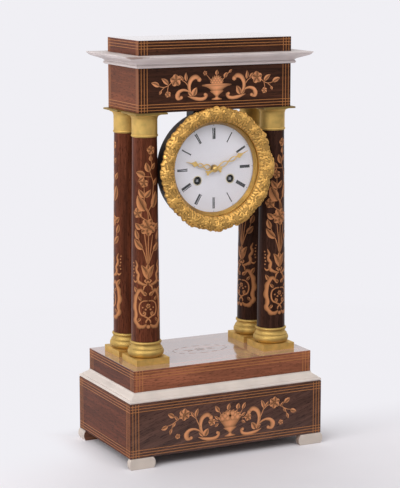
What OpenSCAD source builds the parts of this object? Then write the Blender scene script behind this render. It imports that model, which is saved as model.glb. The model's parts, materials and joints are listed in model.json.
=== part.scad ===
// Portico mantel clock: a veneered case on four columns, a hanging drum with a hinged gilt bezel,
// an enamel dial and a two-train spring movement striking on a bell.
// Millimetres. X to the right, Y to the back (the dial looks to -Y), Z up, floor at Z = 0.
// The movement is drawn in its own frame: u to the right, v up, w towards the front, from the dial's axis.

/* [Case] */
// Width of the lower plinth
plinth_w = 248; // [230:1:270]
// Depth of the lower plinth
plinth_d = 147; // [140:1:165]
// Height of the lower plinth
plinth_h = 63.5; // [55:0.5:75]
// Thickness of the plinth boards
board_t = 12; // [9:0.5:15]
// Width of the step under the columns
step_w = 229; // [222:1:240]
// Depth of the step under the columns
step_d = 128; // [124:1:135]
// Height of the step
step_h = 24.9; // [20:0.1:30]
// Height of the moulded board between plinth and step
base_mould_h = 10.7; // [9:0.1:13]
// Width of the entablature
entab_w = 193.4; // [188:0.2:204]
// Depth of the entablature
entab_d = 84.1; // [80:0.1:84.4]
// Height of the entablature
entab_h = 50.2; // [42:0.2:60]
// Height of the cornice
cornice_h = 13.8; // [11:0.1:17]
// How far the cornice stands out from the entablature
cornice_out = 19; // [14:0.5:24]
// Height of the top block
cap_h = 16.8; // [12:0.2:22]

/* [Feet] */
// Width of a foot
foot_w = 32; // [26:0.5:40]
// Depth of a front foot
foot_front_d = 7.5; // [6:0.5:20]
// Depth of a back foot
foot_back_d = 17.5; // [14:0.5:24]
// Height of a foot
foot_h = 12.5; // [10:0.5:14]
// Radius of a foot's rounded ends
foot_r = 9.2; // [7.1:0.1:10]
// How far a foot stands out from the plinth
foot_out = 1.5; // [0.5:0.1:3]

/* [Columns] */
// Gap between the collar and the top of a column
column_gap = 2.3; // [1.9:0.1:4]
// Column distance from the middle, front to back
column_y = 25; // [22:0.25:26]
// Shaft radius at the foot
shaft_r1 = 16.7; // [15:0.1:17.2]
// Shaft radius at the top
shaft_r2 = 14.2; // [12.5:0.1:14.4]
// Height of a column from step to entablature
column_h = 287.6; // [287:0.1:300]
// Side of the square plinth under a column
base_sq = 41; // [38:0.5:43]
// Height of that square plinth
base_sq_h = 7.3; // [6:0.1:9]
// Side of the square plate on a capital
abacus_sq = 39.6; // [37.5:0.1:42]
// Radius of the iron rod in a column
rod_r = 3; // [2:0.25:4]

/* [Drum and bezel] */
// Gap between the collar and the entablature above it
collar_gap = 1.9; // [1.2:0.1:6]
// How far the collar stands out before the entablature
collar_proud = 0.95; // [0.8:0.05:2]
// How far the collar's outside lies beyond the bezel's opening
collar_over = 10.7; // [10.2:0.1:11.2]
// Wall thickness of the collar
collar_t = 2.2; // [1.6:0.1:2.6]
// Gap between the spring barrels and the rear drum
barrel_gap = 2.8; // [2.6:0.1:3.6]
// Wall thickness of the rear drum
drum_t = 1.5; // [1:0.1:1.6]
// How far the enamel dial runs under the bezel
dial_under = 6.2; // [5.2:0.1:7]
// Radius of the bezel's opening
sight_r = 54.8; // [53:0.1:55]
// Number of lobes around the bezel
lobes = 24; // [16:2:28]
// Radius of a bezel lobe
lobe_r = 4.6; // [3.6:0.1:5]
// How far the lobes' middles stand out from the bezel ring's middle
lobe_out = 3.2; // [2.6:0.1:3.8]
// Width of the bezel's rounded band
band_wide = 13.4; // [12.8:0.1:14]
// How far the bezel's rounded band stands out to the front
band_rise = 7.4; // [6:0.1:7.8]
// How far the inner ring covers the dial's edge
slip_in = 4.4; // [3.6:0.1:4.8]

/* [Hands] */
// Length of the minute hand
minute_len = 46.2; // [42:0.2:48]
// Length of the hour hand
hour_len = 36.9; // [33:0.1:39]
// Minute hand's angle at rest, clockwise from XII
minute_at = 66.2; // [0:0.1:360]
// Hour hand's angle at rest, clockwise from XII
hour_at = 284.6; // [0:0.1:360]
// Thickness of the hands
hand_t = 0.8; // [0.6:0.05:1]

/* [Movement] */
// Winding arbors, distance sideways from the middle
wind_u = 20.9; // [20.6:0.1:21.2]
// Winding arbors, distance below the middle
wind_v = 13; // [12.8:0.1:13.4]
// How far the front plate runs past the rear drum
front_over = 5.5; // [5:0.1:7.5]
// Gap between the back plate and the rear drum
back_gap = 3.5; // [3:0.1:3.8]
// Thickness of the plates
plate_t = 2; // [1.8:0.05:2.1]
// Running clearance of pivots in their holes
play = 0.05; // [0.03:0.01:0.08]
// Mouth radius of the bell
bell_r = 32; // [29.5:0.25:32.5]
// Depth of the bell
bell_h = 15; // [13:0.25:17]

/* [Hidden] */
$fn = 96;

// Levels of the case, from the floor
z_plinth = foot_h;
z_deck = z_plinth + plinth_h - board_t;
z_mould = z_plinth + plinth_h;
z_step = z_mould + base_mould_h;
z_column = z_step + step_h;
z_entab = z_column + column_h;
z_cornice = z_entab + entab_h;
z_cap = z_cornice + cornice_h;
// A column's parts
base_turned_h = 18.5;
capital_h = 27.6;
abacus_h = 1.9;
shaft_h = column_h - base_sq_h - base_turned_h - capital_h;
z_shaft = z_column + base_sq_h + base_turned_h;
rod_hole = rod_r + 0.2;
// Teeth and modules of the wheels
n_barrel = 72;
n_second_pinion = 12;
m_barrel = 0.45;
n_second = 66;
n_centre_pinion = 11;
m_second = 0.36;
n_centre = 72;
n_third_pinion = 6;
m_train = 0.33;
n_third = 66;
n_escape_pinion = 6;
n_escape = 33;
n_strike_second = 72;
n_pin_pinion = 8;
n_pin = 60;
n_stop_pinion = 6;
n_stop = 48;
n_fly_pinion = 6;
n_cannon = 14;
n_minute = 42;
m_minute = 0.6;
n_minute_pinion = 12;
n_hour = 48;
// Radii around the dial's axis
dial_r = sight_r + dial_under;
collar_r = sight_r + collar_over;
barrel_r = m_barrel * n_barrel / 2 - 1;
drum_r = norm([wind_u, wind_v]) + m_barrel * (n_barrel / 2 + 0.9) + barrel_gap + drum_t;
front_r = drum_r + front_over;
back_r = drum_r - drum_t - back_gap;
column_x = collar_r + column_gap + shaft_r2;
// The hanger block and its screws
hanger_w = 28;
hanger_y0 = -12;
hanger_y1 = 6;
hanger_screw_r = 2;
hanger_screw_x = 8;
// The dial hangs under the entablature; depths of the drum are w from the dial's axis to the front
dial_z = z_entab - collar_gap - collar_r;
w_wall = 21;
wall_t = 2;
w_front_plate = w_wall + wall_t;
w_motion = w_front_plate + plate_t;
w_collar = 43;
drum_y = w_collar - collar_proud - entab_d / 2;
w_dial = 34.5;
dial_t = 1;
w_bezel = w_collar + 0.3;
w_back = -9;
w_drum_end = -17;
// The bezel's ring, its glass and its hinge, all from the opening
ring_at = sight_r + 8.2;
lobe_at = ring_at + lobe_out;
glass_t = 1.4;
glass_edge = sight_r + 0.9;
w_sleeve = w_dial + dial_t + 0.9;
w_glass = w_sleeve + 3.9;
w_lip = w_glass + glass_t + 0.25;
sleeve_t = 2.2;
// The bezel's rounded band, from its lip over the glass to its outer foot
function band(a) = [sight_r + 0.2 + band_wide * (1 - cos(a)) / 2,
    w_lip + (w_bezel - w_lip) * (1 - cos(a)) / 2 + band_rise * sin(a)];
hinge_x = ring_at + 7;
hinge_w = 44;
knuckle_r = 1.8;
hinge_pin_r = 0.8;
// Places of the arbors, as [u, v]
function gap(n1, n2, m) = m * (n1 + n2) / 2;
function polar(p, d, a) = [p[0] + d * cos(a), p[1] + d * sin(a)];
function dir(p, q) = atan2(q[1] - p[1], q[0] - p[0]);
function third_corner(p, q, rp, rq, side) =
    let (d = norm(q - p), x = (rp * rp - rq * rq + d * d) / (2 * d), a = acos(x / rp))
    polar(p, rp, dir(p, q) + side * a);
centre_p = [0, 0];
going_p = [wind_u, -wind_v];
strike_p = [-wind_u, -wind_v];
second_p = third_corner(going_p, centre_p, gap(n_barrel, n_second_pinion, m_barrel),
    gap(n_second, n_centre_pinion, m_second), 1);
third_p = polar(centre_p, gap(n_centre, n_third_pinion, m_train), 60);
escape_d = gap(n_third, n_escape_pinion, m_train);
escape_p = [0, third_p[1] + sqrt(escape_d * escape_d - third_p[0] * third_p[0])];
escape_r = 6.6;
anchor_p = [0, escape_p[1] + 9.6];
strike_second_p = polar(strike_p, gap(n_barrel, n_second_pinion, m_barrel), 95);
pin_p = polar(strike_second_p, gap(n_strike_second, n_pin_pinion, m_second), 70);
stop_p = polar(pin_p, gap(n_pin, n_stop_pinion, m_train), 40);
fly_p = polar(stop_p, gap(n_stop, n_fly_pinion, m_train), 120);
m_hour = 2 * gap(n_cannon, n_minute, m_minute) / (n_minute_pinion + n_hour);
minute_p = [0, -gap(n_cannon, n_minute, m_minute)];
hammer_p = [-35.5, 14];
bell_p = [7, -6];
pillars = [[33, 16], [-4, -34], [16, 33], [-29.2, 25]];
screw_angles = [35, 125, 215, 325];
screw_at = (drum_r + front_r) / 2;
dial_feet = [90, 210, 330];
dial_foot_at = 46;
grommet_r = 5.2;
// Tooth phases, so that each pair is in mesh: the angle of one tooth of the second wheel
function in_mesh(t1, n1, n2, b) = b + 180 - (t1 - b) * n1 / n2 - 180 / n2;
second_t = in_mesh(0, n_barrel, n_second_pinion, dir(going_p, second_p));
centre_t = in_mesh(0, n_second, n_centre_pinion, dir(second_p, centre_p));
third_t = in_mesh(0, n_centre, n_third_pinion, dir(centre_p, third_p));
escape_t = in_mesh(0, n_third, n_escape_pinion, dir(third_p, escape_p));
minute_t = in_mesh(0, n_cannon, n_minute, dir(centre_p, minute_p));
hour_t = in_mesh(0, n_minute_pinion, n_hour, dir(minute_p, centre_p));
strike_second_t = in_mesh(0, n_barrel, n_second_pinion, dir(strike_p, strike_second_p));
pin_t = in_mesh(0, n_strike_second, n_pin_pinion, dir(strike_second_p, pin_p));
stop_t = in_mesh(0, n_pin, n_stop_pinion, dir(pin_p, stop_p));
fly_t = in_mesh(0, n_stop, n_fly_pinion, dir(stop_p, fly_p));
// Colours
rosewood = [0.29, 0.15, 0.13];
rosewood_side = [0.45, 0.26, 0.2];
cream = [0.89, 0.85, 0.79];
gilt = [0.83, 0.66, 0.28];
brass = [0.78, 0.63, 0.33];
steel = [0.52, 0.53, 0.55];
black = [0.08, 0.08, 0.09];
enamel = [0.95, 0.94, 0.9];

// Carries a child drawn in u, v, w into the clock
module movement() {
    translate([0, drum_y, dial_z])
        rotate([90, 0, 0])
            children();
}

// A round bar along w, from w0 to w1
module bar(p, w0, w1, r) {
    translate([p[0], p[1], w0])
        cylinder(r = r, h = w1 - w0);
}

// A toothed outline with straight flanks; half widths are parts of a pitch, heights are in modules
module teeth(n, m, t, root_half, tip_half, add, ded) {
    polygon([for (i = [0 : n - 1]) for (k = [0 : 3])
        let (a = t + 360 / n * (i + [-root_half, -tip_half, tip_half, root_half][k]),
            r = m * n / 2 + m * [-ded, add, add, -ded][k])
        [r * cos(a), r * sin(a)]]);
}

// A crossed-out wheel, wheel_t thick, whose back lies at w
module wheel(p, w, n, m, t, wheel_t = 1.2, hub = 2.6, arms = 4) {
    rim = m * n / 2 - 2.6 * m - 0.4;
    translate([p[0], p[1], w])
        linear_extrude(wheel_t)
            difference() {
                teeth(n, m, t, 0.25, 0.13, 0.9, 1.1);
                difference() {
                    circle(r = rim);
                    circle(r = hub);
                    for (i = [0 : arms - 1])
                        rotate(i * 360 / arms)
                            translate([0, -0.6])
                                square([rim + 1, 1.2]);
                }
            }
}

// A leaf pinion from w0 to w1
module pinion(p, w0, w1, n, m, t) {
    translate([p[0], p[1], w0])
        linear_extrude(w1 - w0)
            teeth(n, m, t, 0.2, 0.1, 0.65, 1.35);
}

// An arbor between the plates, pivoted in both, thin from p0 to p1 where its pinion is
module arbor(p, r, pivot, p0, p1, core) {
    bar(p, w_back - plate_t, w_back + 0.3, pivot);
    bar(p, w_back + 0.3, p0, r);
    bar(p, p0, p1, core);
    bar(p, p1, w_front_plate - 0.3, r);
    bar(p, w_front_plate - 0.3, w_motion, pivot);
}

// A pivot hole through plates and all
module hole(p, r) {
    bar(p, w_back - plate_t - 1, w_motion + 1, r);
}

// A mirrored outline for a moulded board: half its size at the neck, with [out, up] points
module moulded(half, points) {
    polygon(concat([for (q = points) [half + q[0], q[1]]],
        [for (i = [len(points) - 1 : -1 : 0]) [-half - points[i][0], points[i][1]]]));
}

// A board with a moulding on its ends and one on its front and back
module moulded_board(w, d, end_points, front_points) {
    intersection() {
        rotate([90, 0, 0])
            linear_extrude(2 * d, center = true)
                moulded(w / 2, end_points);
        rotate([90, 0, 90])
            linear_extrude(2 * w, center = true)
                moulded(d / 2, front_points);
    }
}

// Points of an arc, and of an S-shaped sweep that leaves and arrives upright
function arc(c, r, a0, a1, n) = [for (i = [0 : n])
    let (a = a0 + (a1 - a0) * i / n)
    c + r * [cos(a), sin(a)]];
function sweep(p, q, n) = [for (i = [0 : n])
    let (s = i / n)
    [p[0] + (q[0] - p[0]) * (0.5 - 0.5 * cos(180 * s)), p[1] + (q[1] - p[1]) * s]];

// The columns' four places
module at_columns() {
    for (sx = [-1, 1])
        for (sy = [-1, 1])
            translate([sx * column_x, sy * column_y, 0])
                children();
}

module rod_holes(z0, z1) {
    at_columns()
        translate([0, 0, z0])
            cylinder(r = rod_hole, h = z1 - z0);
}

// A foot's outline: flat top and bottom, rounded ends
module cushion(w) {
    side = sqrt(foot_r * foot_r - foot_h * foot_h / 4);
    intersection() {
        translate([-w, 0])
            square([2 * w, foot_h]);
        union() {
            translate([-(w / 2 - foot_r + side), 0])
                square([w - 2 * foot_r + 2 * side, foot_h]);
            for (s = [-1, 1])
                translate([s * (w / 2 - foot_r), foot_h / 2])
                    circle(r = foot_r);
        }
    }
}

// A foot's outline from the side: flat faces, eased edges
module slab(d) {
    ease = 1;
    translate([-d / 2, ease])
        square([d, foot_h - 2 * ease]);
    translate([-d / 2 + ease, 0])
        square([d - 2 * ease, foot_h]);
    for (s = [-1, 1])
        for (z = [ease, foot_h - ease])
            translate([s * (d / 2 - ease), z])
                circle(r = ease);
}

module foot(d) {
    intersection() {
        rotate([90, 0, 0])
            linear_extrude(2 * d, center = true)
                cushion(foot_w);
        rotate([90, 0, 90])
            linear_extrude(2 * foot_w, center = true)
                slab(d);
    }
}

module feet() {
    x = plinth_w / 2 + foot_out - foot_w / 2;
    y = plinth_d / 2 + foot_out;
    color(cream)
        for (s = [-1, 1]) {
            translate([s * x, -y + foot_front_d / 2, 0])
                foot(foot_front_d);
            translate([s * x, y - foot_back_d / 2, 0])
                foot(foot_back_d);
        }
}

module plinth_long_board(s) {
    color(rosewood)
        translate([-plinth_w / 2, s * (plinth_d / 2 - board_t / 2) - board_t / 2, z_plinth])
            cube([plinth_w, board_t, plinth_h]);
}

module plinth_side_board(s) {
    color(rosewood_side)
        translate([s * (plinth_w / 2 - board_t / 2) - board_t / 2, -plinth_d / 2 + board_t, z_plinth])
            cube([board_t, plinth_d - 2 * board_t, plinth_h]);
}

module plinth_front_board() {
    plinth_long_board(-1);
}

module plinth_back_board() {
    plinth_long_board(1);
}

module plinth_left_board() {
    plinth_side_board(-1);
}

module plinth_right_board() {
    plinth_side_board(1);
}

module plinth_deck() {
    color(rosewood)
        difference() {
            translate([-plinth_w / 2 + board_t, -plinth_d / 2 + board_t, z_deck])
                cube([plinth_w - 2 * board_t, plinth_d - 2 * board_t, board_t]);
            rod_holes(z_deck - 1, z_mould + 1);
        }
}

// The cream moulding under the step: a round nose, then a sweep up to the step
nose = 1.9;
function base_profile(out) = concat(arc([out - nose, nose], nose, -90, 90, 8),
    sweep([out - nose - 0.7, 2 * nose], [0.5, base_mould_h - 1], 8), [[0.5, base_mould_h]]);

module plinth_moulding() {
    color(cream)
        difference() {
            translate([0, 0, z_mould])
                moulded_board(step_w, step_d, base_profile((plinth_w - step_w) / 2),
                    base_profile((plinth_d - step_d) / 2));
            rod_holes(z_mould - 1, z_step + 1);
        }
}

module plinth_step() {
    color(rosewood_side)
        difference() {
            translate([-step_w / 2, -step_d / 2, z_step])
                cube([step_w, step_d, step_h]);
            rod_holes(z_step - 1, z_column + 1);
        }
}

module column_shaft(sx, sy) {
    color(rosewood)
        translate([sx * column_x, sy * column_y, z_shaft])
            difference() {
                cylinder(r1 = shaft_r1, r2 = shaft_r2, h = shaft_h);
                translate([0, 0, -1])
                    cylinder(r = rod_hole, h = shaft_h + 2);
            }
}

module column_front_left() {
    column_shaft(-1, -1);
}

module column_front_right() {
    column_shaft(1, -1);
}

module column_back_left() {
    column_shaft(-1, 1);
}

module column_back_right() {
    column_shaft(1, 1);
}

// A turned gilt base: torus, hollow and ring on a square plinth
module column_base() {
    torus = 5.2;
    hollow = 4.9;
    difference() {
        union() {
            translate([-base_sq / 2, -base_sq / 2, 0])
                cube([base_sq, base_sq, base_sq_h]);
            translate([0, 0, base_sq_h])
                rotate_extrude() {
                    square([shaft_r1 - 0.4, base_turned_h]);
                    translate([shaft_r1 - 0.9, torus])
                        circle(r = torus);
                    difference() {
                        translate([0, torus])
                            square([shaft_r1 + 2.6, base_turned_h - torus - 3.6]);
                        translate([shaft_r1 + 5.2, base_turned_h - 4.1])
                            circle(r = hollow);
                    }
                    translate([shaft_r1 - 0.1, base_turned_h - 1.9])
                        circle(r = 1.75);
                }
        }
        translate([0, 0, -1])
            cylinder(r = rod_hole, h = base_sq_h + base_turned_h + 2);
    }
}

module column_bases() {
    color(gilt)
        at_columns()
            translate([0, 0, z_column])
                column_base();
}

// A turned gilt capital: bead, plain neck, hollow and square plate
module column_capital() {
    flare = 4.4;
    neck_r = shaft_r2 + 0.4;
    top = capital_h - abacus_h;
    difference() {
        union() {
            rotate_extrude()
                union() {
                    square([neck_r, top]);
                    translate([shaft_r2 - 0.1, 1.5])
                        circle(r = 1.3);
                    difference() {
                        translate([0, top - 1 - flare])
                            square([neck_r + flare, 1 + flare]);
                        translate([neck_r + flare + 0.3, top - 1 - flare])
                            circle(r = flare);
                    }
                }
            translate([-abacus_sq / 2, -abacus_sq / 2, top])
                cube([abacus_sq, abacus_sq, abacus_h]);
        }
        translate([0, 0, -1])
            cylinder(r = rod_hole, h = capital_h + 2);
    }
}

module column_capitals() {
    color(gilt)
        at_columns()
            translate([0, 0, z_entab - capital_h])
                column_capital();
}

// The iron rods that draw step, columns and entablature together
module column_rods() {
    color(steel)
        at_columns()
            translate([0, 0, z_deck - 9])
                cylinder(r = rod_r, h = z_entab + 16 - z_deck + 9);
}

module rod_nuts() {
    color(steel)
        at_columns()
            translate([0, 0, z_deck - 6])
                difference() {
                    cylinder(r = 2 * rod_r, h = 6, $fn = 6);
                    translate([0, 0, -1])
                        cylinder(r = rod_r, h = 8);
                }
}

module entablature() {
    color(rosewood)
        difference() {
            translate([-entab_w / 2, -entab_d / 2, z_entab])
                cube([entab_w, entab_d, entab_h]);
            at_columns()
                translate([0, 0, z_entab - 1])
                    cylinder(r = rod_r, h = 17);
            hanger_screw_places()
                translate([0, 0, z_entab - 1])
                    cylinder(r = hanger_screw_r, h = 15);
        }
}

// The cornice: a bead, a sweep outwards and a thin lip
module cornice() {
    bead = 1.8;
    lip = 1.6;
    profile = concat(arc([4.3 - bead, bead], bead, -90, 90, 8),
        sweep([2.9, 2 * bead], [cornice_out - 1.2, cornice_h - lip - 0.3], 10),
        [[cornice_out - 0.6, cornice_h - lip], [cornice_out, cornice_h - lip + 0.4],
            [cornice_out, cornice_h]]);
    color(cream)
        translate([0, 0, z_cornice])
            moulded_board(entab_w, entab_d, profile, profile);
}

module top_block() {
    color(rosewood)
        translate([-entab_w / 2, -entab_d / 2 - 0.5, z_cap])
            cube([entab_w, entab_d + 1, cap_h]);
}

module hanger_screw_places() {
    for (s = [-1, 1])
        translate([s * hanger_screw_x, (hanger_y0 + hanger_y1) / 2, 0])
            children();
}

// The dark block that hangs the drum under the entablature
module hanger_block() {
    color(black)
        difference() {
            translate([-hanger_w / 2, hanger_y0, dial_z + drum_r - 4])
                cube([hanger_w, hanger_y1 - hanger_y0, z_entab - dial_z - drum_r + 4]);
            movement()
                translate([0, 0, -60])
                    cylinder(r = drum_r, h = 120);
            hanger_screw_places()
                translate([0, 0, dial_z])
                    cylinder(r = hanger_screw_r + 0.1, h = z_entab - dial_z + 1);
        }
}

module hanger_screws() {
    seat = dial_z + sqrt(pow(drum_r - drum_t, 2) - pow(hanger_screw_x + 3.6, 2)) - 0.1;
    color(steel)
        hanger_screw_places() {
            translate([0, 0, seat - 2])
                cylinder(r = 3.6, h = 2);
            translate([0, 0, seat - 0.5])
                cylinder(r = hanger_screw_r, h = z_entab + 14 - seat + 0.5);
        }
}

// The blackened collar with its back wall and the ledge behind the dial
module dial_collar() {
    inner = collar_r - collar_t;
    color(black)
        movement()
            difference() {
                rotate_extrude()
                    polygon([[drum_r, w_wall], [collar_r, w_wall], [collar_r, w_collar], [inner, w_collar],
                        [inner, w_dial], [dial_r - 4, w_dial], [dial_r - 4, w_dial - 2], [inner, w_dial - 2],
                        [inner, w_front_plate], [drum_r, w_front_plate]]);
                for (a = screw_angles)
                    bar(polar(centre_p, screw_at, a), w_wall - 1, w_front_plate + 1, 1.3);
            }
}

module drum_case() {
    color(brass)
        difference() {
            movement()
                difference() {
                    bar(centre_p, w_drum_end, w_front_plate, drum_r);
                    bar(centre_p, w_drum_end - 1, w_front_plate + 1, drum_r - drum_t);
                    translate([-9, -drum_r - 1, w_drum_end - 1])
                        cube([18, drum_r, 5.5]);
                }
            hanger_screw_places()
                translate([0, 0, dial_z])
                    cylinder(r = hanger_screw_r + 0.1, h = drum_r + 5);
        }
}

// The cast bezel: a sleeve down to the dial with a groove for the glass, a rounded band with lobes, and two
// hinge knuckles
module bezel() {
    groove_r = glass_edge + 0.2;
    ear_h = 14.4;
    ear_t = 1.3;
    color(gilt)
        movement()
            difference() {
                union() {
                    rotate_extrude()
                        polygon(concat([[sight_r, w_sleeve], [sight_r, w_glass], [groove_r, w_glass],
                            [groove_r, w_lip]], [for (a = [0 : 7.5 : 180]) band(a)],
                            [[sight_r + sleeve_t, w_bezel], [sight_r + sleeve_t, w_sleeve]]));
                    intersection() {
                        for (i = [0 : lobes - 1])
                            rotate(90 + i * 360 / lobes)
                                translate([lobe_at, 0, w_bezel + 0.5])
                                    sphere(r = lobe_r);
                        bar(centre_p, w_bezel, w_bezel + 3 * lobe_r, lobe_at + 3 * lobe_r);
                    }
                    translate([ring_at - 1, -ear_h / 2, w_bezel + 2.75])
                        cube([hinge_x + 2.4 - ring_at, ear_h, ear_t]);
                }
                translate([collar_r + 0.5, -ear_h / 2 - 0.2, w_bezel - 1])
                    cube([hinge_x + 16 - collar_r, ear_h + 0.4, 3.75]);
            }
    color(gilt)
        for (s = [-1, 1])
            translate([0, drum_y, dial_z + s * 4.95])
                difference() {
                    union() {
                        translate([hinge_x, -hinge_w, -2.25])
                            cylinder(r = knuckle_r, h = 4.5);
                        translate([hinge_x - 1.4, -w_bezel - 3, -2.25])
                            cube([2.8, w_bezel + 3 - hinge_w, 4.5]);
                    }
                    translate([hinge_x, -hinge_w, -3])
                        cylinder(r = hinge_pin_r, h = 6);
                }
}

module bezel_glass() {
    dome = 260;
    low = sqrt(dome * dome - glass_edge * glass_edge);
    color([0.85, 0.92, 0.93, 0.3])
        movement()
            translate([0, 0, w_glass - low + glass_t])
                rotate_extrude()
                    intersection() {
                        difference() {
                            circle(r = dome, $fn = 400);
                            circle(r = dome - glass_t, $fn = 400);
                        }
                        translate([0, low - glass_t])
                            square([glass_edge, dome / 16]);
                    }
}

// The smooth ring behind the glass that covers the dial's edge
module glass_ring() {
    color(gilt)
        movement()
            rotate_extrude()
                polygon([[sight_r - slip_in, w_sleeve], [sight_r, w_sleeve], [sight_r, w_glass],
                    [sight_r - 0.9, w_glass], [sight_r - slip_in, w_sleeve + 0.7]]);
}

module hinge_bracket() {
    color(brass)
        difference() {
            translate([0, drum_y, dial_z])
                difference() {
                    union() {
                        translate([hinge_x, -hinge_w, -2.5])
                            cylinder(r = knuckle_r, h = 5);
                        translate([collar_r - 3, -w_collar, -2.5])
                            cube([hinge_x + knuckle_r - collar_r + 2.6, 2.6, 5]);
                    }
                    translate([hinge_x, -hinge_w, -4])
                        cylinder(r = hinge_pin_r + play, h = 8);
                }
            movement()
                bar(centre_p, w_wall, w_collar + 5, collar_r);
        }
}

module hinge_pin() {
    pin_h = 15.2;
    color(steel)
        translate([hinge_x, drum_y - hinge_w, dial_z - pin_h / 2])
            cylinder(r = hinge_pin_r, h = pin_h);
}

module dial() {
    color(enamel)
        movement()
            union() {
                difference() {
                    bar(centre_p, w_dial, w_dial + dial_t, dial_r);
                    bar(centre_p, w_dial - 1, w_dial + 3, 4.4);
                    bar(going_p, w_dial - 1, w_dial + 3, grommet_r);
                    bar(strike_p, w_dial - 1, w_dial + 3, grommet_r);
                }
                for (a = dial_feet)
                    bar(polar(centre_p, dial_foot_at, a), w_front_plate + 0.8, w_dial + 0.2, 1.25);
            }
}

module winding_grommets() {
    color(brass)
        movement()
            for (p = [going_p, strike_p])
                difference() {
                    union() {
                        bar(p, w_dial - 0.3, w_dial + dial_t, grommet_r);
                        bar(p, w_dial + dial_t, w_dial + dial_t + 0.3, grommet_r + 0.4);
                    }
                    bar(p, w_dial - 1, w_dial + 3, grommet_r - 0.6);
                }
}

// A pointed loop from y0 to y1, w wide, of wire s thick
function lens(y0, y1, w) = concat([for (i = [0 : 10]) [w / 2 * sin(18 * i), y0 + (y1 - y0) * i / 10]],
    [for (i = [9 : -1 : 1]) [-w / 2 * sin(18 * i), y0 + (y1 - y0) * i / 10]]);

module loop(y0, y1, w, s) {
    difference() {
        polygon(lens(y0, y1, w));
        polygon(lens(y0 + 1.6 * s, y1 - 1.6 * s, w - 2 * s));
    }
}

// A pierced hand of loops and an arrow, pointing up
module hand(len, tail, hub, bore, wide) {
    difference() {
        union() {
            circle(r = hub);
            loop(hub - 0.8, 0.42 * len, wide, 0.9);
            loop(0.40 * len, 0.66 * len, 0.8 * wide, 0.9);
            polygon([[0, 0.64 * len], [0.42 * wide, 0.74 * len], [0.5, 0.78 * len], [0.35, len], [-0.35, len],
                [-0.5, 0.78 * len], [-0.42 * wide, 0.74 * len]]);
            loop(-tail, -hub + 0.8, 0.7 * wide, 0.8);
        }
        circle(r = bore);
    }
}

module hour_hand() {
    color(gilt)
        movement()
            translate([0, 0, 37])
                rotate(-hour_at)
                    linear_extrude(hand_t)
                        hand(hour_len, 9.4, 4.8, 3.4, 6.6);
}

module minute_hand() {
    color(gilt)
        movement()
            translate([0, 0, 39.1])
                rotate(-minute_at)
                    linear_extrude(hand_t)
                        hand(minute_len, 12.4, 4.2, 2.4, 5.2);
}

module hand_nut() {
    color(gilt)
        movement()
            difference() {
                intersection() {
                    bar(centre_p, 39.1 + hand_t, 43, 3.4);
                    translate([0, 0, 38.6])
                        sphere(r = 3.7);
                }
                bar(centre_p, 38, 41.5, 1.5);
            }
}

module front_plate() {
    color(brass)
        movement() {
            difference() {
                bar(centre_p, w_front_plate, w_motion, front_r);
                hole(centre_p, 1.5 + play);
                for (p = [going_p, strike_p])
                    hole(p, 2 + play);
                hole(second_p, 0.8 + play);
                hole(strike_second_p, 0.8 + play);
                for (p = [third_p, escape_p, anchor_p, pin_p, stop_p, fly_p, hammer_p])
                    hole(p, 0.5 + play);
                for (p = pillars)
                    hole(p, 1.4);
                for (a = screw_angles)
                    hole(polar(centre_p, screw_at, a), 1.3);
                for (a = dial_feet)
                    hole(polar(centre_p, dial_foot_at, a), 1.25);
            }
            bar(minute_p, w_motion, w_motion + 7, 1.2);
        }
}

module back_plate() {
    color(brass)
        movement()
            difference() {
                bar(centre_p, w_back - plate_t, w_back, back_r);
                for (p = [going_p, strike_p])
                    hole(p, 2 + play);
                hole(centre_p, 0.8 + play);
                hole(second_p, 0.8 + play);
                hole(strike_second_p, 1.5 + play);
                for (p = [third_p, escape_p, pin_p, stop_p, fly_p])
                    hole(p, 0.5 + play);
                hole(hammer_p, 1 + play);
                hole(anchor_p, 1.6);
                for (p = pillars)
                    hole(p, 1.4);
                hole(bell_p, 1.5);
                for (s = [-1, 1])
                    hole([7 * s, anchor_p[1] + 3.4], 1);
            }
}

module plate_pillars() {
    color(brass)
        movement()
            for (p = pillars)
                union() {
                    bar(p, w_back, w_front_plate, 2.2);
                    bar(p, w_front_plate - 0.5, w_motion, 1.4);
                    bar(p, w_back - plate_t - 2.4, w_back + 0.5, 1.4);
                }
}

module pillar_nuts() {
    color(steel)
        movement()
            for (p = pillars)
                difference() {
                    translate([p[0], p[1], w_back - plate_t - 2])
                        cylinder(r = 2.7, h = 2, $fn = 6);
                    bar(p, w_back - plate_t - 3, w_back, 1.4);
                }
}

module movement_screws() {
    color(steel)
        movement()
            for (a = screw_angles)
                difference() {
                    union() {
                        bar(polar(centre_p, screw_at, a), w_wall - 0.5, w_motion + 0.5, 1.3);
                        bar(polar(centre_p, screw_at, a), w_motion, w_motion + 1.5, 2.3);
                    }
                    translate(concat(polar(centre_p, screw_at, a), [w_motion + 1.4]))
                        cube([6, 0.6, 1.2], center = true);
                }
}

// A spring barrel with its great wheel, turning freely on its arbor
module barrel(p) {
    difference() {
        union() {
            translate([p[0], p[1], 0])
                linear_extrude(1.6)
                    teeth(n_barrel, m_barrel, 0, 0.25, 0.13, 0.9, 1.1);
            bar(p, 1, 18, barrel_r);
            bar(p, 17, 18.6, barrel_r - 0.8);
        }
        bar(p, -1, 20, 2 + play);
    }
}

// A winding arbor: pivots in both plates, a square at the front
module winding_arbor(p) {
    bar(p, w_back - plate_t - 0.6, w_motion + 0.8, 2);
    translate([p[0] - 1.4, p[1] - 1.4, w_motion])
        cube([2.8, 2.8, 34.9 - w_motion]);
}

module going_barrel() {
    color(brass)
        movement()
            barrel(going_p);
}

module going_arbor() {
    color(steel)
        movement()
            winding_arbor(going_p);
}

module strike_barrel() {
    color(brass)
        movement()
            barrel(strike_p);
}

module strike_arbor() {
    color(steel)
        movement()
            winding_arbor(strike_p);
}

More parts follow.
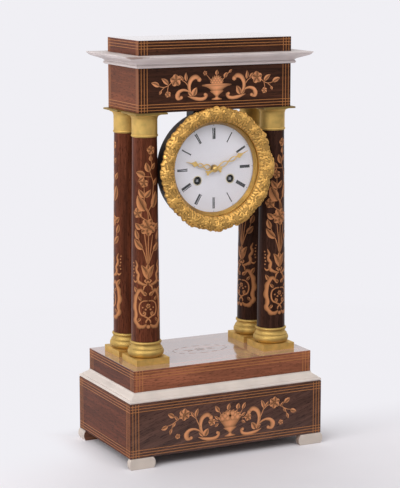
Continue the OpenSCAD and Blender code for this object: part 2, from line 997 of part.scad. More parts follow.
module going_second_wheel() {
    color(brass)
        movement() {
            arbor(second_p, 1.2, 0.8, -1.2, 2.8, 1.2);
            pinion(second_p, -1.2, 2.8, n_second_pinion, m_barrel, second_t);
            wheel(second_p, -5, n_second, m_second, 0);
        }
}

module centre_wheel() {
    color(brass)
        movement() {
            bar(centre_p, w_back - plate_t, w_back + 0.3, 0.8);
            bar(centre_p, w_back + 0.3, 19, 1.2);
            bar(centre_p, 19, 41.5, 1.5);
            pinion(centre_p, -6.2, -2.4, n_centre_pinion, m_second, centre_t);
            wheel(centre_p, 20.6, n_centre, m_train, 0);
        }
}

module third_wheel() {
    color(brass)
        movement() {
            arbor(third_p, 0.9, 0.5, 19.8, 22.6, 0.5);
            pinion(third_p, 19.8, 22.6, n_third_pinion, m_train, third_t);
            wheel(third_p, 9, n_third, m_train, 0);
        }
}

module escape_wheel() {
    color(brass)
        movement() {
            arbor(escape_p, 0.9, 0.5, 8.2, 11, 0.5);
            pinion(escape_p, 8.2, 11, n_escape_pinion, m_train, escape_t);
            translate([escape_p[0], escape_p[1], -6])
                linear_extrude(1)
                    difference() {
                        polygon([for (i = [0 : n_escape - 1]) for (k = [0 : 2])
                            let (a = 360 / n_escape * (i + [0, 0.12, 0.45][k]), r = escape_r - [0, 0, 1.2][k])
                            [r * cos(a), r * sin(a)]]);
                        difference() {
                            circle(r = escape_r - 2.2);
                            circle(r = 1.8);
                            for (i = [0 : 3])
                                rotate(i * 90)
                                    translate([0, -0.5])
                                        square([escape_r - 1.8, 1]);
                        }
                    }
        }
}

// The anchor: two arms over the escape wheel, pallets standing clear of its teeth
module anchor() {
    reach = 0.8;
    a = 50;
    tip = [(escape_r + reach) * sin(a), (escape_r + reach) * cos(a) - 9.6];
    heel = [(escape_r + reach + 2.4) * sin(a + 6), (escape_r + reach + 2.4) * cos(a + 6) - 9.6];
    color(steel)
        movement() {
            bar(anchor_p, -16.4, -15.4, 0.5);
            bar(anchor_p, -15.4, w_front_plate - 0.3, 0.9);
            bar(anchor_p, w_front_plate - 0.3, w_motion, 0.5);
            translate([anchor_p[0], anchor_p[1], -6])
                linear_extrude(1)
                    union() {
                        circle(r = 2);
                        for (s = [-1, 1])
                            polygon([[0, 1.6], [s * 2.2, 1.4], [s * heel[0], heel[1]], [s * tip[0], tip[1]],
                                [s * (tip[0] - 0.9), tip[1] + 0.9], [0, -1.6]]);
                    }
        }
}

// The crutch hanging from the anchor's arbor, forked for the pendulum rod
module crutch() {
    color(brass)
        movement()
            translate([anchor_p[0], anchor_p[1], -14.8])
                linear_extrude(1.2)
                    difference() {
                        union() {
                            circle(r = 2.2);
                            translate([-0.8, -27])
                                square([1.6, 26]);
                            translate([-2.6, -31])
                                square([5.2, 5]);
                        }
                        circle(r = 0.9);
                        translate([-1.1, -30])
                            square([2.2, 3]);
                    }
}

// The anchor's back cock with the suspension pin, from which a pendulum would hang
module suspension_cock() {
    posts = anchor_p[1] + 3.4;
    color(brass)
        movement() {
            for (s = [-1, 1]) {
                bar([7 * s, posts], -16.2, w_back - plate_t, 1.6);
                bar([7 * s, posts], w_back - plate_t - 0.5, w_back, 1);
            }
            difference() {
                translate([-9, anchor_p[1] - 2.4, -17.6])
                    cube([18, 8.2, 1.6]);
                bar(anchor_p, -19, -15, 0.5 + play);
            }
            bar([0, posts], -23, -17, 1);
            bar([0, posts], -23, -22.2, 1.6);
        }
}

module cannon_pinion() {
    color(steel)
        movement()
            difference() {
                union() {
                    bar(centre_p, w_motion + 0.3, 39.1 + hand_t, 2.4);
                    pinion(centre_p, w_motion + 0.6, w_motion + 3.4, n_cannon, m_minute, 0);
                }
                bar(centre_p, w_motion - 1, 45, 1.5);
            }
}

module minute_wheel() {
    color(brass)
        movement()
            difference() {
                union() {
                    wheel(minute_p, w_motion + 1.2, n_minute, m_minute, minute_t, hub = 4.5);
                    pinion(minute_p, w_motion + 2.3, w_motion + 6.2, n_minute_pinion, m_hour, 0);
                }
                bar(minute_p, w_motion - 1, w_motion + 8, 1.2 + play);
            }
}

module hour_wheel() {
    color(brass)
        movement()
            difference() {
                union() {
                    wheel(centre_p, w_motion + 4.3, n_hour, m_hour, hour_t, hub = 4.6);
                    bar(centre_p, w_motion + 4.3, 37 + hand_t, 3.4);
                }
                bar(centre_p, w_motion, 45, 2.4 + play);
            }
}

module strike_second_wheel() {
    color(brass)
        movement() {
            bar(strike_second_p, -14, w_back + 0.3, 1.5);
            bar(strike_second_p, w_back + 0.3, w_front_plate - 0.3, 1.2);
            bar(strike_second_p, w_front_plate - 0.3, w_motion, 0.8);
            pinion(strike_second_p, -1.2, 2.8, n_second_pinion, m_barrel, strike_second_t);
            wheel(strike_second_p, -5, n_strike_second, m_second, 0);
        }
}

// The count wheel: notches spaced for one to twelve blows, the half hours falling in the wide ones
module count_wheel() {
    blows = 90;
    color(brass)
        movement()
            translate([strike_second_p[0], strike_second_p[1], -13.6])
                linear_extrude(1.2)
                    difference() {
                        circle(r = 12);
                        circle(r = 1.5);
                        for (h = [1 : 12])
                            rotate(360 / blows * (h * (h + 1) / 2 + h))
                                translate([10.4, -0.6])
                                    square([3, 1.2]);
                        for (i = [0 : 3])
                            rotate(45 + 90 * i)
                                translate([5.8, 0])
                                    circle(r = 2.2);
                    }
}

module pin_wheel() {
    color(brass)
        movement() {
            arbor(pin_p, 0.9, 0.5, -6.2, -2.4, 0.9);
            pinion(pin_p, -6.2, -2.4, n_pin_pinion, m_second, pin_t);
            wheel(pin_p, 6, n_pin, m_train, 0);
            for (i = [0 : 9])
                bar(polar(pin_p, 8.6, 36 * i + 18), 3.4, 6.5, 0.4);
        }
}

module stop_wheel() {
    color(brass)
        movement() {
            arbor(stop_p, 0.9, 0.5, 5.2, 8, 0.5);
            pinion(stop_p, 5.2, 8, n_stop_pinion, m_train, stop_t);
            wheel(stop_p, 14, n_stop, m_train, 0, hub = 2);
            bar(polar(stop_p, 6.6, 30), 15, 17.5, 0.35);
        }
}

module fly() {
    color(brass)
        movement() {
            arbor(fly_p, 0.9, 0.5, 13.2, 16, 0.5);
            pinion(fly_p, 13.2, 16, n_fly_pinion, m_train, fly_t);
            translate([fly_p[0], fly_p[1], 3])
                rotate(25)
                    cube([8.4, 0.6, 10], center = true);
        }
}

// The hammer: arbor between the plates, a tail at the pin wheel, an arm and head behind the back plate
module hammer() {
    head = polar(bell_p, bell_r + 4, 165);
    tail_len = norm(pin_p - hammer_p) - 9.8;
    arm_len = norm(head - hammer_p);
    color(steel)
        movement() {
            bar(hammer_p, -17, w_back + 0.3, 1);
            bar(hammer_p, w_back + 0.3, w_front_plate - 0.3, 1.2);
            bar(hammer_p, w_front_plate - 0.3, w_motion, 0.5);
            bar(hammer_p, 3, 5.6, 2);
            translate([hammer_p[0], hammer_p[1], 3.4])
                rotate(dir(hammer_p, pin_p))
                    translate([0, -0.7, 0])
                        cube([tail_len, 1.4, 1.8]);
            bar(hammer_p, -17, -14.6, 2);
            translate([hammer_p[0], hammer_p[1], -16.6])
                rotate(dir(hammer_p, head))
                    translate([0, -0.8, 0])
                        cube([arm_len, 1.6, 1.6]);
            bar(head, -24, -15, 3);
        }
}

module bell() {
    dome = (bell_r * bell_r + bell_h * bell_h) / (2 * bell_h);
    color(brass)
        movement()
            translate([bell_p[0], bell_p[1], -18 - bell_h + dome])
                rotate_extrude()
                    intersection() {
                        difference() {
                            circle(r = dome, $fn = 200);
                            circle(r = dome - 1.6, $fn = 200);
                        }
                        translate([2.2, -dome - 1])
                            square([bell_r + 5, bell_h + 1]);
                    }
}

module bell_stand() {
    crown = -18 - bell_h;
    color(steel)
        movement() {
            bar(bell_p, w_back - plate_t - 2, w_back - plate_t, 4);
            bar(bell_p, w_back - plate_t - 0.5, w_back, 1.5);
            bar(bell_p, crown + 1.8, w_back - plate_t - 1.5, 2.8);
            bar(bell_p, crown - 2.6, crown + 2, 2.2);
            translate([bell_p[0], bell_p[1], crown - 2.2])
                cylinder(r = 4.2, h = 2.1, $fn = 6);
        }
}

feet();
plinth_front_board();
plinth_back_board();
plinth_left_board();
plinth_right_board();
plinth_deck();
plinth_moulding();
plinth_step();
column_front_left();
column_front_right();
column_back_left();
column_back_right();
column_bases();
column_capitals();
column_rods();
rod_nuts();
entablature();
cornice();
top_block();
hanger_block();
hanger_screws();
dial_collar();
drum_case();
bezel();
bezel_glass();
glass_ring();
hinge_bracket();
hinge_pin();
dial();
winding_grommets();
hour_hand();
minute_hand();
hand_nut();
front_plate();
back_plate();
plate_pillars();
pillar_nuts();
movement_screws();
going_barrel();
going_arbor();
going_second_wheel();
centre_wheel();
third_wheel();
escape_wheel();
anchor();
crutch();
cannon_pinion();
minute_wheel();
hour_wheel();
strike_barrel();
strike_arbor();
strike_second_wheel();
count_wheel();
pin_wheel();
stop_wheel();
fly();
hammer();
bell();
bell_stand();
suspension_cock();
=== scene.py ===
"""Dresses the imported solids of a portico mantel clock: rosewood veneers with stringing and marquetry, cream mouldings,
gilt bases, capitals and bezel, an enamel dial with pierced hands, and a brass movement, on a pale studio floor."""

import functools
import json
import math
import random

import bmesh
import bpy
import numpy as np
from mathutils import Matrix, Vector

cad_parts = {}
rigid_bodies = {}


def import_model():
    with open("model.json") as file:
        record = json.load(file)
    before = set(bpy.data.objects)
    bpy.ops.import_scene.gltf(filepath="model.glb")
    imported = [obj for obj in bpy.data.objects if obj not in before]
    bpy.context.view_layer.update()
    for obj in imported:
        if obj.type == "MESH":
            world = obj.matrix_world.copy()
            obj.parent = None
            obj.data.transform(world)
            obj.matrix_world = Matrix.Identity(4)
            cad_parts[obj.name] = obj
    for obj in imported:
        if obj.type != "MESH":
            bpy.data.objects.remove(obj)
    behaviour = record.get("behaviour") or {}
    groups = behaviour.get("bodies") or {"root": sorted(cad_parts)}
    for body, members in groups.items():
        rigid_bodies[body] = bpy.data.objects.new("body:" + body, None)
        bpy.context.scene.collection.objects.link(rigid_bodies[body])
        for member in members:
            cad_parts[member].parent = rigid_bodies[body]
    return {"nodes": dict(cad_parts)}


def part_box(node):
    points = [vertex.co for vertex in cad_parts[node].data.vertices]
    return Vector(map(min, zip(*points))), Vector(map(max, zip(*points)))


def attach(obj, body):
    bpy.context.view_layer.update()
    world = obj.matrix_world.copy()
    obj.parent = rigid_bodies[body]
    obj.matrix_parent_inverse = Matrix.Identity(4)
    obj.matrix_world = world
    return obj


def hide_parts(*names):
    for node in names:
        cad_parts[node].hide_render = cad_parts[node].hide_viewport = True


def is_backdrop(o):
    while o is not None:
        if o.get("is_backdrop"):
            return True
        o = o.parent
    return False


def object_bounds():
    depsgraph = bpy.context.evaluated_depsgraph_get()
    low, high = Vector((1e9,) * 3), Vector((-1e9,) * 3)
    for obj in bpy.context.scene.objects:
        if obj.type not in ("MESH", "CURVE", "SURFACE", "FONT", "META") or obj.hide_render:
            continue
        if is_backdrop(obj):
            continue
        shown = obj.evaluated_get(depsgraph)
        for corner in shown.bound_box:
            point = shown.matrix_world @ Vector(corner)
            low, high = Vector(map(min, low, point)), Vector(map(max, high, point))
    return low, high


bl_info = {
    "name": "Portico Mantel Clock",
    "version": (1, 0, 0),
    "blender": (4, 5, 0),
    "location": "View3D > Sidebar > Clock",
    "description": "Veneers, marquetry, gilding, dial and hands of a portico mantel clock",
    "category": "Object",
}

for leftover in list(bpy.data.objects):
    bpy.data.objects.remove(leftover)
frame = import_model()
CAD_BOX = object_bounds()

MM = 0.001
WHITE = (1.0, 1.0, 1.0)
FRONT, LEFT, RIGHT, TOP = range(4)
# For each face of a box: the panel's right, its up, and outwards.
FACE_AXES = {
    FRONT: ((1, 0, 0), (0, 0, 1), (0, -1, 0)),
    LEFT: ((0, -1, 0), (0, 0, 1), (-1, 0, 0)),
    RIGHT: ((0, 1, 0), (0, 0, 1), (1, 0, 0)),
    TOP: ((1, 0, 0), (0, 1, 0), (0, 0, 1)),
}


def span(node):
    """A node's lowest and highest corners, in millimetres."""
    low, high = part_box(node)
    return np.array(low) / MM, np.array(high) / MM


DIAL_LOW, DIAL_HIGH = span("dial")
DIAL_MIDDLE = (DIAL_LOW[2] + DIAL_HIGH[2]) / 2
DIAL_FACE = -DIAL_LOW[1]


# ---------------------------------------------------------------- colours and nodes


def linear(hexed):
    """The linear colour of an sRGB hex value."""
    parts = [int(hexed[i : i + 2], 16) / 255 for i in (1, 3, 5)]
    return tuple(c / 12.92 if c <= 0.04045 else ((c + 0.055) / 1.055) ** 2.4 for c in parts)


def shade(colour, strength):
    """A linear colour made darker or lighter."""
    return tuple(min(1.0, c * strength) for c in tuple(colour)[:3])


def per_metre(size):
    """A noise scale for a feature of that many millimetres."""
    return 1.0 / (size * MM)


def add(tree, kind, inputs=None, stops=None, **settings):
    """Adds a node with its settings. An input is a value, a node, or a node with the name of its output."""
    node = tree.nodes.new(kind)
    for name, value in settings.items():
        setattr(node, name, value)
    for name, value in (inputs or {}).items():
        source = value if isinstance(value, tuple) else (value, 0)
        socket = node.inputs[name]
        if isinstance(source[0], bpy.types.Node):
            tree.links.new(source[0].outputs[source[1]], socket)
        else:
            socket.default_value = (*value, 1.0) if socket.type == "RGBA" and len(value) == 3 else value
    if stops:
        band = node.color_ramp.elements
        while len(band) < len(stops):
            band.new(1.0)
        for element, (place, colour) in zip(band, stops):
            element.position = place
            element.color = (*colour, 1.0)
    return node


def finish(build):
    """Makes a shader's builder into a function that gives the material of a name, built when it is first asked for. The
    builder gets the node tree and the piece's own coordinates before the other values."""

    @functools.wraps(build)
    def material(name, *values, **options):
        made = bpy.data.materials.get(name)
        if made is None:
            made = bpy.data.materials.new(name)
            made.use_nodes = True
            tree = made.node_tree
            tree.nodes.clear()
            place = (add(tree, "ShaderNodeTexCoord"), "Object")
            add(tree, "ShaderNodeOutputMaterial", {"Surface": build(tree, place, *values, **options)})
        return made

    return material


# ---------------------------------------------------------------- settings


def colour_setting(name, description, hexed):
    return bpy.props.FloatVectorProperty(
        name=name, description=description, subtype="COLOR", size=3, min=0.0, max=1.0, default=linear(hexed)
    )


def length_setting(name, description, size):
    return bpy.props.FloatProperty(
        name=name, description=description, unit="LENGTH", subtype="DISTANCE", min=0.0, precision=5, default=size * MM
    )


class ClockCaseSettings(bpy.types.PropertyGroup):
    """Veneers, stringing and paint of the case."""

    front_wood: colour_setting("Front veneer", "Ground colour of the dark rosewood on the upper fronts", "#432619")
    plinth_wood: colour_setting(
        "Plinth veneer", "Ground colour of the grey-brown rosewood on the plinth's front", "#593d34"
    )
    side_wood: colour_setting(
        "Side veneer", "Ground colour of the lighter rosewood on the entablature's ends", "#774128"
    )
    end_wood: colour_setting("Brown veneer", "Ground colour of the brown rosewood on the other blocks' ends", "#653523")
    step_wood: colour_setting("Step veneer", "Ground colour of the red-brown veneer round the step", "#985b41")
    column_wood: colour_setting("Left columns", "Ground colour of the rosewood on the left columns", "#603220")
    # Painted shade: the right columns' veneer is darker than the left ones' to stand in for the shade they stand in.
    column_shaded_wood: colour_setting("Right columns", "Ground colour of the rosewood on the right columns", "#3f2820")
    band_wood: colour_setting("Crossband", "Colour of the light bands at the upper ends' edges", "#8f5634")
    line_wood: colour_setting("Stringing", "Colour of the inlaid lines", "#bf7e4b")
    inlay_wood: colour_setting("Marquetry", "Palest colour of the marquetry", "#e09a6b")
    column_inlay_wood: colour_setting("Column marquetry", "Palest colour of the columns' marquetry", "#bf8053")
    paint: colour_setting("Mouldings", "Colour of the painted lower moulding", "#dcd0c7")
    # Painted shade: the feet's cream is darker than the moulding's to stand in for the shade under the plinth.
    foot_paint_shaded: colour_setting("Feet", "Colour of the painted feet", "#cfc2b7")
    # The cornice's cream is a cooler white, and it is also darkened as painted shade for its downward-facing front.
    cornice_paint_shaded: colour_setting("Cornice", "Colour of the painted cornice", "#d3c8c5")
    softwood: colour_setting("Bare wood", "Colour of the unpolished wood inside and under the case", "#6e4229")
    line_width: length_setting("Line width", "Width of an inlaid line", 0.68)
    line_edge: length_setting("First line", "Distance of the outermost level line from the edge", 2.8)
    line_gap: length_setting("Line spacing", "Distance from one level line to the next", 3.25)
    band_width: length_setting("Crossband width", "Width of the light bands at the upper ends' edges", 8.0)
    edge_wear: length_setting("Edge rounding", "How far the veneered edges are rubbed round", 0.5)


class ClockDialSettings(bpy.types.PropertyGroup):
    """Numerals, dots and enamel of the dial."""

    enamel: colour_setting("Enamel", "Colour of the dial", "#e8e5ec")
    paint: colour_setting("Numerals", "Colour of the numerals and dots", "#12151c")
    numeral_foot: length_setting("Numeral foot", "Radius at the numerals' feet", 33.6)
    numeral_height: length_setting("Numeral height", "Height of the numerals", 12.8)
    stroke: length_setting("Heavy stroke", "Width of a numeral's heavy strokes", 1.05)
    hairline: length_setting("Hairline", "Width of a numeral's thin strokes", 0.18)
    dot_ring: length_setting("Dot ring", "Radius of the ring of hour dots", 49.5)
    dot_radius: length_setting("Dot radius", "Radius of an hour dot", 0.48)


class ClockGiltSettings(bpy.types.PropertyGroup):
    """Gilding and brass."""

    gilt: colour_setting("Gilding", "Colour of the gilt bases, capitals and hands", "#e6c070")
    bezel_gilt: colour_setting("Bezel gilding", "Colour of the cast bezel", "#efbd69")
    brass: colour_setting("Brass", "Colour of the movement's brass", "#cfa65c")
    steel: colour_setting("Steel", "Colour of the arbors and pinions", "#a3a6ab")
    leaf_length: length_setting("Leaf length", "Length of a leaf on the bezel", 5.4)
    rosette_radius: length_setting("Rosette radius", "Radius of the bezel's largest flowers", 4.2)
    berry_radius: length_setting("Berry radius", "Radius of the bezel's berries", 1.0)
    seed: bpy.props.IntProperty(name="Casting seed", description="Varies the cast leaves", default=7, min=0)


class ClockStageSettings(bpy.types.PropertyGroup):
    """Floor, background and lamps."""

    floor: colour_setting("Floor", "Colour of the studio floor", "#f6f3f8")
    background: colour_setting("Background", "Colour of the background", "#f0eff4")
    key_power: bpy.props.FloatProperty(
        name="Key lamp", description="Power of the lamp at the left", unit="POWER", default=40.0
    )
    fill_power: bpy.props.FloatProperty(
        name="Fill lamp", description="Power of the lamp at the front", unit="POWER", default=17.0
    )
    ambient: bpy.props.FloatProperty(
        name="Room light", description="Strength of the light from the backdrop", default=0.8
    )


# ---------------------------------------------------------------- materials


def noise(tree, place, size, detail, roughness=0.5, distortion=0.0):
    """Noise with features of that many millimetres."""
    inputs = {"Vector": place, "Scale": per_metre(size), "Detail": detail}
    fine = {"Roughness": roughness, "Distortion": distortion}
    return (add(tree, "ShaderNodeTexNoise", {**inputs, **fine}), "Fac")


def grain(tree, place, axis, along, across, detail, roughness=0.5, distortion=0.0):
    """Noise drawn out along an axis, as wood grain is: a streak's length and width are in millimetres."""
    scale = tuple(per_metre(along if name in axis else across) for name in "XYZ")
    drawn = add(tree, "ShaderNodeMapping", {"Vector": place, "Scale": scale})
    return noise(tree, drawn, 1.0 / MM, detail, roughness, distortion)


def ramp(tree, source, colour, *stops):
    """A ramp through tones of one colour: each stop is a place on the ramp and a strength."""
    return add(tree, "ShaderNodeValToRGB", {"Fac": source}, stops=[(at, shade(colour, k)) for at, k in stops])


def spread(tree, source, low, high, first=0.0, last=1.0, eased=False):
    """A number that runs from first to last, spread from low to high."""
    inputs = {"Value": source, "From Min": first, "From Max": last, "To Min": low, "To Max": high}
    return add(tree, "ShaderNodeMapRange", inputs, interpolation_type="SMOOTHSTEP" if eased else "LINEAR")


def maths(tree, operation, *values, **settings):
    """Numbers joined by an operation."""
    return add(tree, "ShaderNodeMath", dict(enumerate(values)), operation=operation, **settings)


def vector_maths(tree, operation, *values):
    """Vectors joined by an operation."""
    return add(tree, "ShaderNodeVectorMath", dict(enumerate(values)), operation=operation)


def split(tree, source):
    """A vector's three numbers."""
    return add(tree, "ShaderNodeSeparateXYZ", {"Vector": source})


def dimmed(tree, colour, share):
    """A colour times a number."""
    return add(tree, "ShaderNodeVectorMath", {0: colour, 3: share}, operation="SCALE")


def blend(tree, share, first, second):
    """A share of the second colour over the first."""
    return (add(tree, "ShaderNodeMix", {0: share, 6: first, 7: second}, data_type="RGBA"), 2)


def relief(tree, source, strength, deep, **settings):
    """Bumps of that many millimetres."""
    return add(tree, "ShaderNodeBump", {"Height": source, "Strength": strength, "Distance": deep * MM}, **settings)


def surface(tree, colour, rough, bumps=None, more=None):
    """A surface shader; more gives its other inputs."""
    inputs = {"Base Color": colour, "Roughness": rough, **(more or {})}
    if bumps is not None:
        inputs["Normal"] = bumps
    return add(tree, "ShaderNodeBsdfPrincipled", inputs)


@finish
def rosewood_veneer(tree, place, colour, axis, contrast=1.0, coat=0.25, gloss=0.2, tilt=0.0, mirror=False):
    """French-polished rosewood veneer, sliced: near-black streaks along the grain on a red-brown ground, short dark
    pores, and a clear thin polish that turns mirror-like at a low angle; mirror is the fuller polish of level tops,
    under a little dust."""
    turned = add(tree, "ShaderNodeMapping", {"Vector": place, "Rotation": (0.0, tilt, 0.0)})
    figure = grain(tree, turned, axis, 160.0, 13.0, 4.0, distortion=1.4)
    streak = grain(tree, turned, axis, 70.0, 2.6, 6.0, 0.65, 0.5)
    pore = grain(tree, turned, axis, 7.0, 0.7, 2.0)
    mixed = add(tree, "ShaderNodeMix", {0: 0.5, 2: figure, 3: streak})
    darkest, palest = 1.0 - 0.72 * contrast, 1.0 + 0.75 * contrast
    tone = ramp(tree, mixed, colour, (0.33, darkest), (0.46, 0.75), (0.55, 1.1), (0.68, palest))
    dash = ramp(tree, pore, WHITE, (0.57, 0.0), (0.66, 1.0))
    wood = blend(tree, dash, tone, shade(colour, 0.3))
    sheen = spread(tree, streak, *((0.1, 0.2) if mirror else (0.24, 0.36)))
    polish = {
        "IOR": 1.5, "Specular IOR Level": gloss, "Coat Weight": coat, "Coat Roughness": 0.07,
        "Coat IOR": 2.0 if mirror else 1.5, "Sheen Weight": 0.2 if mirror else 0.0,
    }
    return surface(tree, wood, sheen, relief(tree, dash, 0.12, 0.08, invert=True), polish)


@finish
def light_veneer(tree, place, colour, mirror=False):
    """Boxwood and fruitwood veneer, sliced and polished: pale, close-grained, with sand-scorched shading where the
    piece carries a scorch value (0 dark, 1 pale); mirror is the fuller polish of level tops."""
    fibre = grain(tree, place, "XZ", 12.0, 0.9, 3.0, 0.6)
    scorch = add(tree, "ShaderNodeAttribute", attribute_name="scorch")
    level = maths(tree, "ADD", (scorch, "Fac"), spread(tree, fibre, -0.14, 0.14), use_clamp=True)
    tone = ramp(tree, level, colour, (0.0, 0.08), (0.3, 0.32), (0.62, 0.66), (1.0, 1.02))
    polish = {
        "Specular IOR Level": 0.12, "Coat Weight": 1.0 if mirror else 0.0, "Coat Roughness": 0.07,
        "Coat IOR": 2.0 if mirror else 1.5,
    }
    return surface(tree, tone, spread(tree, fibre, 0.28, 0.42), relief(tree, fibre, 0.08, 0.06), polish)


@finish
def painted_wood(tree, place, paint, wood, inside=False, worn=None):
    """Cream oil paint brushed on wood and rubbed by handling: matt, slightly mottled, with brown showing in small
    chips. inside leaves the feet's faces that look along the depth to the clock's middle bare. It turns those that look
    across to the middle 0.6 of the way to the wood, as painted shade under the plinth. worn is a corner rubbed down to
    the wood with the lengths of that patch."""
    cloud = noise(tree, place, 26.0, 5.0)
    stroke = grain(tree, place, "XY", 40.0, 1.1, 4.0)
    chips = noise(tree, place, 4.0, 7.0, 0.7)
    tone = ramp(tree, cloud, paint, (0.3, 0.9), (0.55, 1.0), (0.7, 1.04))
    bare = ramp(tree, chips, WHITE, (0.68, 0.0), (0.75, 0.55))
    streak = ramp(tree, stroke, wood, (0.3, 0.6), (0.7, 1.3))
    if worn is not None:
        corner, lengths = worn
        start = tuple(-c / n for c, n in zip(corner, lengths))
        scale = tuple(per_metre(n) for n in lengths)
        off = add(tree, "ShaderNodeMapping", {"Vector": place, "Location": start, "Scale": scale})
        ragged = maths(tree, "ADD", (vector_maths(tree, "LENGTH", off), "Value"), chips)
        bare = maths(tree, "MAXIMUM", bare, spread(tree, ragged, 0.65, 0.0, 0.9, 1.5))
    if inside:
        axes = split(tree, place)
        looks = split(tree, (add(tree, "ShaderNodeNewGeometry"), "Normal"))
        # Faces looking inward across the clock are browned as painted shade; those looking inward along its depth are
        # bare wood.
        for axis, share in (("X", 0.6), ("Y", 1.0)):
            side = maths(tree, "SIGN", (axes, axis))
            outwards = maths(tree, "MULTIPLY", side, (looks, axis))
            bare = maths(tree, "MAXIMUM", bare, spread(tree, outwards, 0.0, share, -0.3, -0.6))
    colour = blend(tree, bare, tone, streak)
    return surface(tree, colour, spread(tree, cloud, 0.45, 0.62), relief(tree, stroke, 0.1, 0.1))


@finish
def bare_softwood(tree, place, colour):
    """Planed softwood left bare: dull, with soft brown growth lines and saw marks."""
    lines = grain(tree, place, "X", 90.0, 3.5, 5.0, distortion=0.8)
    tone = ramp(tree, lines, colour, (0.35, 0.55), (0.52, 1.0), (0.66, 1.35))
    return surface(tree, tone, 0.72, relief(tree, lines, 0.3, 0.2))


@finish
def gilt_brass(tree, place, colour, low, high, dull=0.0, hollow=False, plate=None):
    """Fire-gilt brass, matted and burnished: a warm yellow metal with a soft cloudy gloss, dulled by a share of old
    wax. Where the piece carries a hollow value, the hollows are darkened brown, partly as old wax and partly as painted
    shade, and only the tips stay burnished. plate is a height with the tones below and above it: painted shade darkens
    the capitals' square plates, and painted light lifts the plates under the bases."""
    cloud = noise(tree, place, 9.0, 5.0)
    tone = ramp(tree, cloud, colour, (0.32, 0.82), (0.52, 1.0), (0.7, 1.1))
    if plate is not None:
        level, below, above = plate
        # The plate's tones paint shade and light onto a square plate.
        height = (split(tree, place), "Z")
        tone = dimmed(tree, tone, spread(tree, height, below, above, (level - 0.1) * MM, (level + 0.1) * MM))
    metal, rough = 1.0 - dull, spread(tree, cloud, low, high)
    if hollow:
        deep = (add(tree, "ShaderNodeAttribute", attribute_name="hollow"), "Fac")
        # Painted shade and old wax: the gilding darkens brown where the hollow value is high.
        tone = blend(tree, deep, tone, shade(colour, 0.42))
        metal, rough = spread(tree, deep, 1.0 - dull, 0.75 - dull), spread(tree, deep, low, high)
    matting = relief(tree, noise(tree, place, 0.6, 3.0), 0.12, 0.06)
    return surface(tree, tone, rough, matting, {"Metallic": metal})


def dial_radius(tree, place, across=0.0, up=0.0):
    """The distance from the dial's axis, or from a line beside it."""
    start = (-across * MM, 0.0, -(DIAL_MIDDLE + up) * MM)
    centred = add(tree, "ShaderNodeMapping", {"Vector": place, "Location": start})
    return (vector_maths(tree, "LENGTH", vector_maths(tree, "MULTIPLY", centred, (1.0, 0.0, 1.0))), "Value")


@finish
def turned_metal(tree, place, colour, low, high, ring=0.5, shaded_spots=()):
    """Brass or steel turned and brushed in rings round the dial's axis: fine circular lines that streak the gloss. The
    lines are drawn half a millimetre apart, coarser than the real ones, so that they show. The spots listed last,
    across and up from the axis with their radius, are painted almost black as painted shade where the plate shows
    through the winding holes."""
    inputs = {"W": dial_radius(tree, place), "Scale": per_metre(ring), "Detail": 3.0}
    rings = (add(tree, "ShaderNodeTexNoise", inputs, noise_dimensions="1D"), "Fac")
    tone = ramp(tree, noise(tree, place, 14.0, 4.0), colour, (0.32, 0.72), (0.55, 1.0), (0.72, 1.1))
    for across, up, radius in shaded_spots:
        near = spread(tree, dial_radius(tree, place, across, up), 1.0, 0.0, radius * MM, (radius + 1.5) * MM)
        tone = blend(tree, near, tone, shade(colour, 0.012))
    return surface(tree, tone, spread(tree, rings, low, high), relief(tree, rings, 0.08, 0.04), {"Metallic": 1.0})


@finish
def blackened(tree, place, colour, low, high, size):
    """Sheet iron or wood blacked and waxed: almost black, with a soft broken sheen and browner rubbed spots."""
    spots = noise(tree, place, size, 6.0)
    tone = ramp(tree, spots, colour, (0.4, 0.7), (0.6, 1.15), (0.75, 2.2))
    return surface(tree, tone, spread(tree, spots, low, high), relief(tree, spots, 0.15, 0.1))


@finish
def fired_enamel(tree, place, colour):
    """White vitreous enamel on copper, fired: a glassy near-white with a faint cold mottle and slight waves."""
    mottle = noise(tree, place, 30.0, 3.0)
    tone = ramp(tree, mottle, colour, (0.3, 0.95), (0.7, 1.0))
    glaze = {"Coat Weight": 0.4, "Coat Roughness": 0.05}
    return surface(tree, tone, spread(tree, mottle, 0.14, 0.22), relief(tree, mottle, 0.05, 0.3), glaze)


@finish
def dial_paint(tree, place, colour):
    """Black vitreous paint fired on the dial: dense blue-black, a little thinner in places."""
    load = noise(tree, place, 2.0, 3.0)
    return surface(tree, ramp(tree, load, colour, (0.35, 0.7), (0.7, 1.6)), spread(tree, load, 0.25, 0.4))


@finish
def clear_glass(tree, place):
    """Blown clear glass, ground at the edge: colourless, with a slow ripple; lamps shine through it."""
    ripple = relief(tree, noise(tree, place, 40.0, 1.0), 0.03, 0.5)
    glass = surface(tree, WHITE, 0.0, ripple, {"IOR": 1.45, "Transmission Weight": 1.0})
    clear = add(tree, "ShaderNodeBsdfTransparent")
    shadow = (add(tree, "ShaderNodeLightPath"), "Is Shadow Ray")
    return add(tree, "ShaderNodeMixShader", {0: shadow, 1: glass, 2: clear})


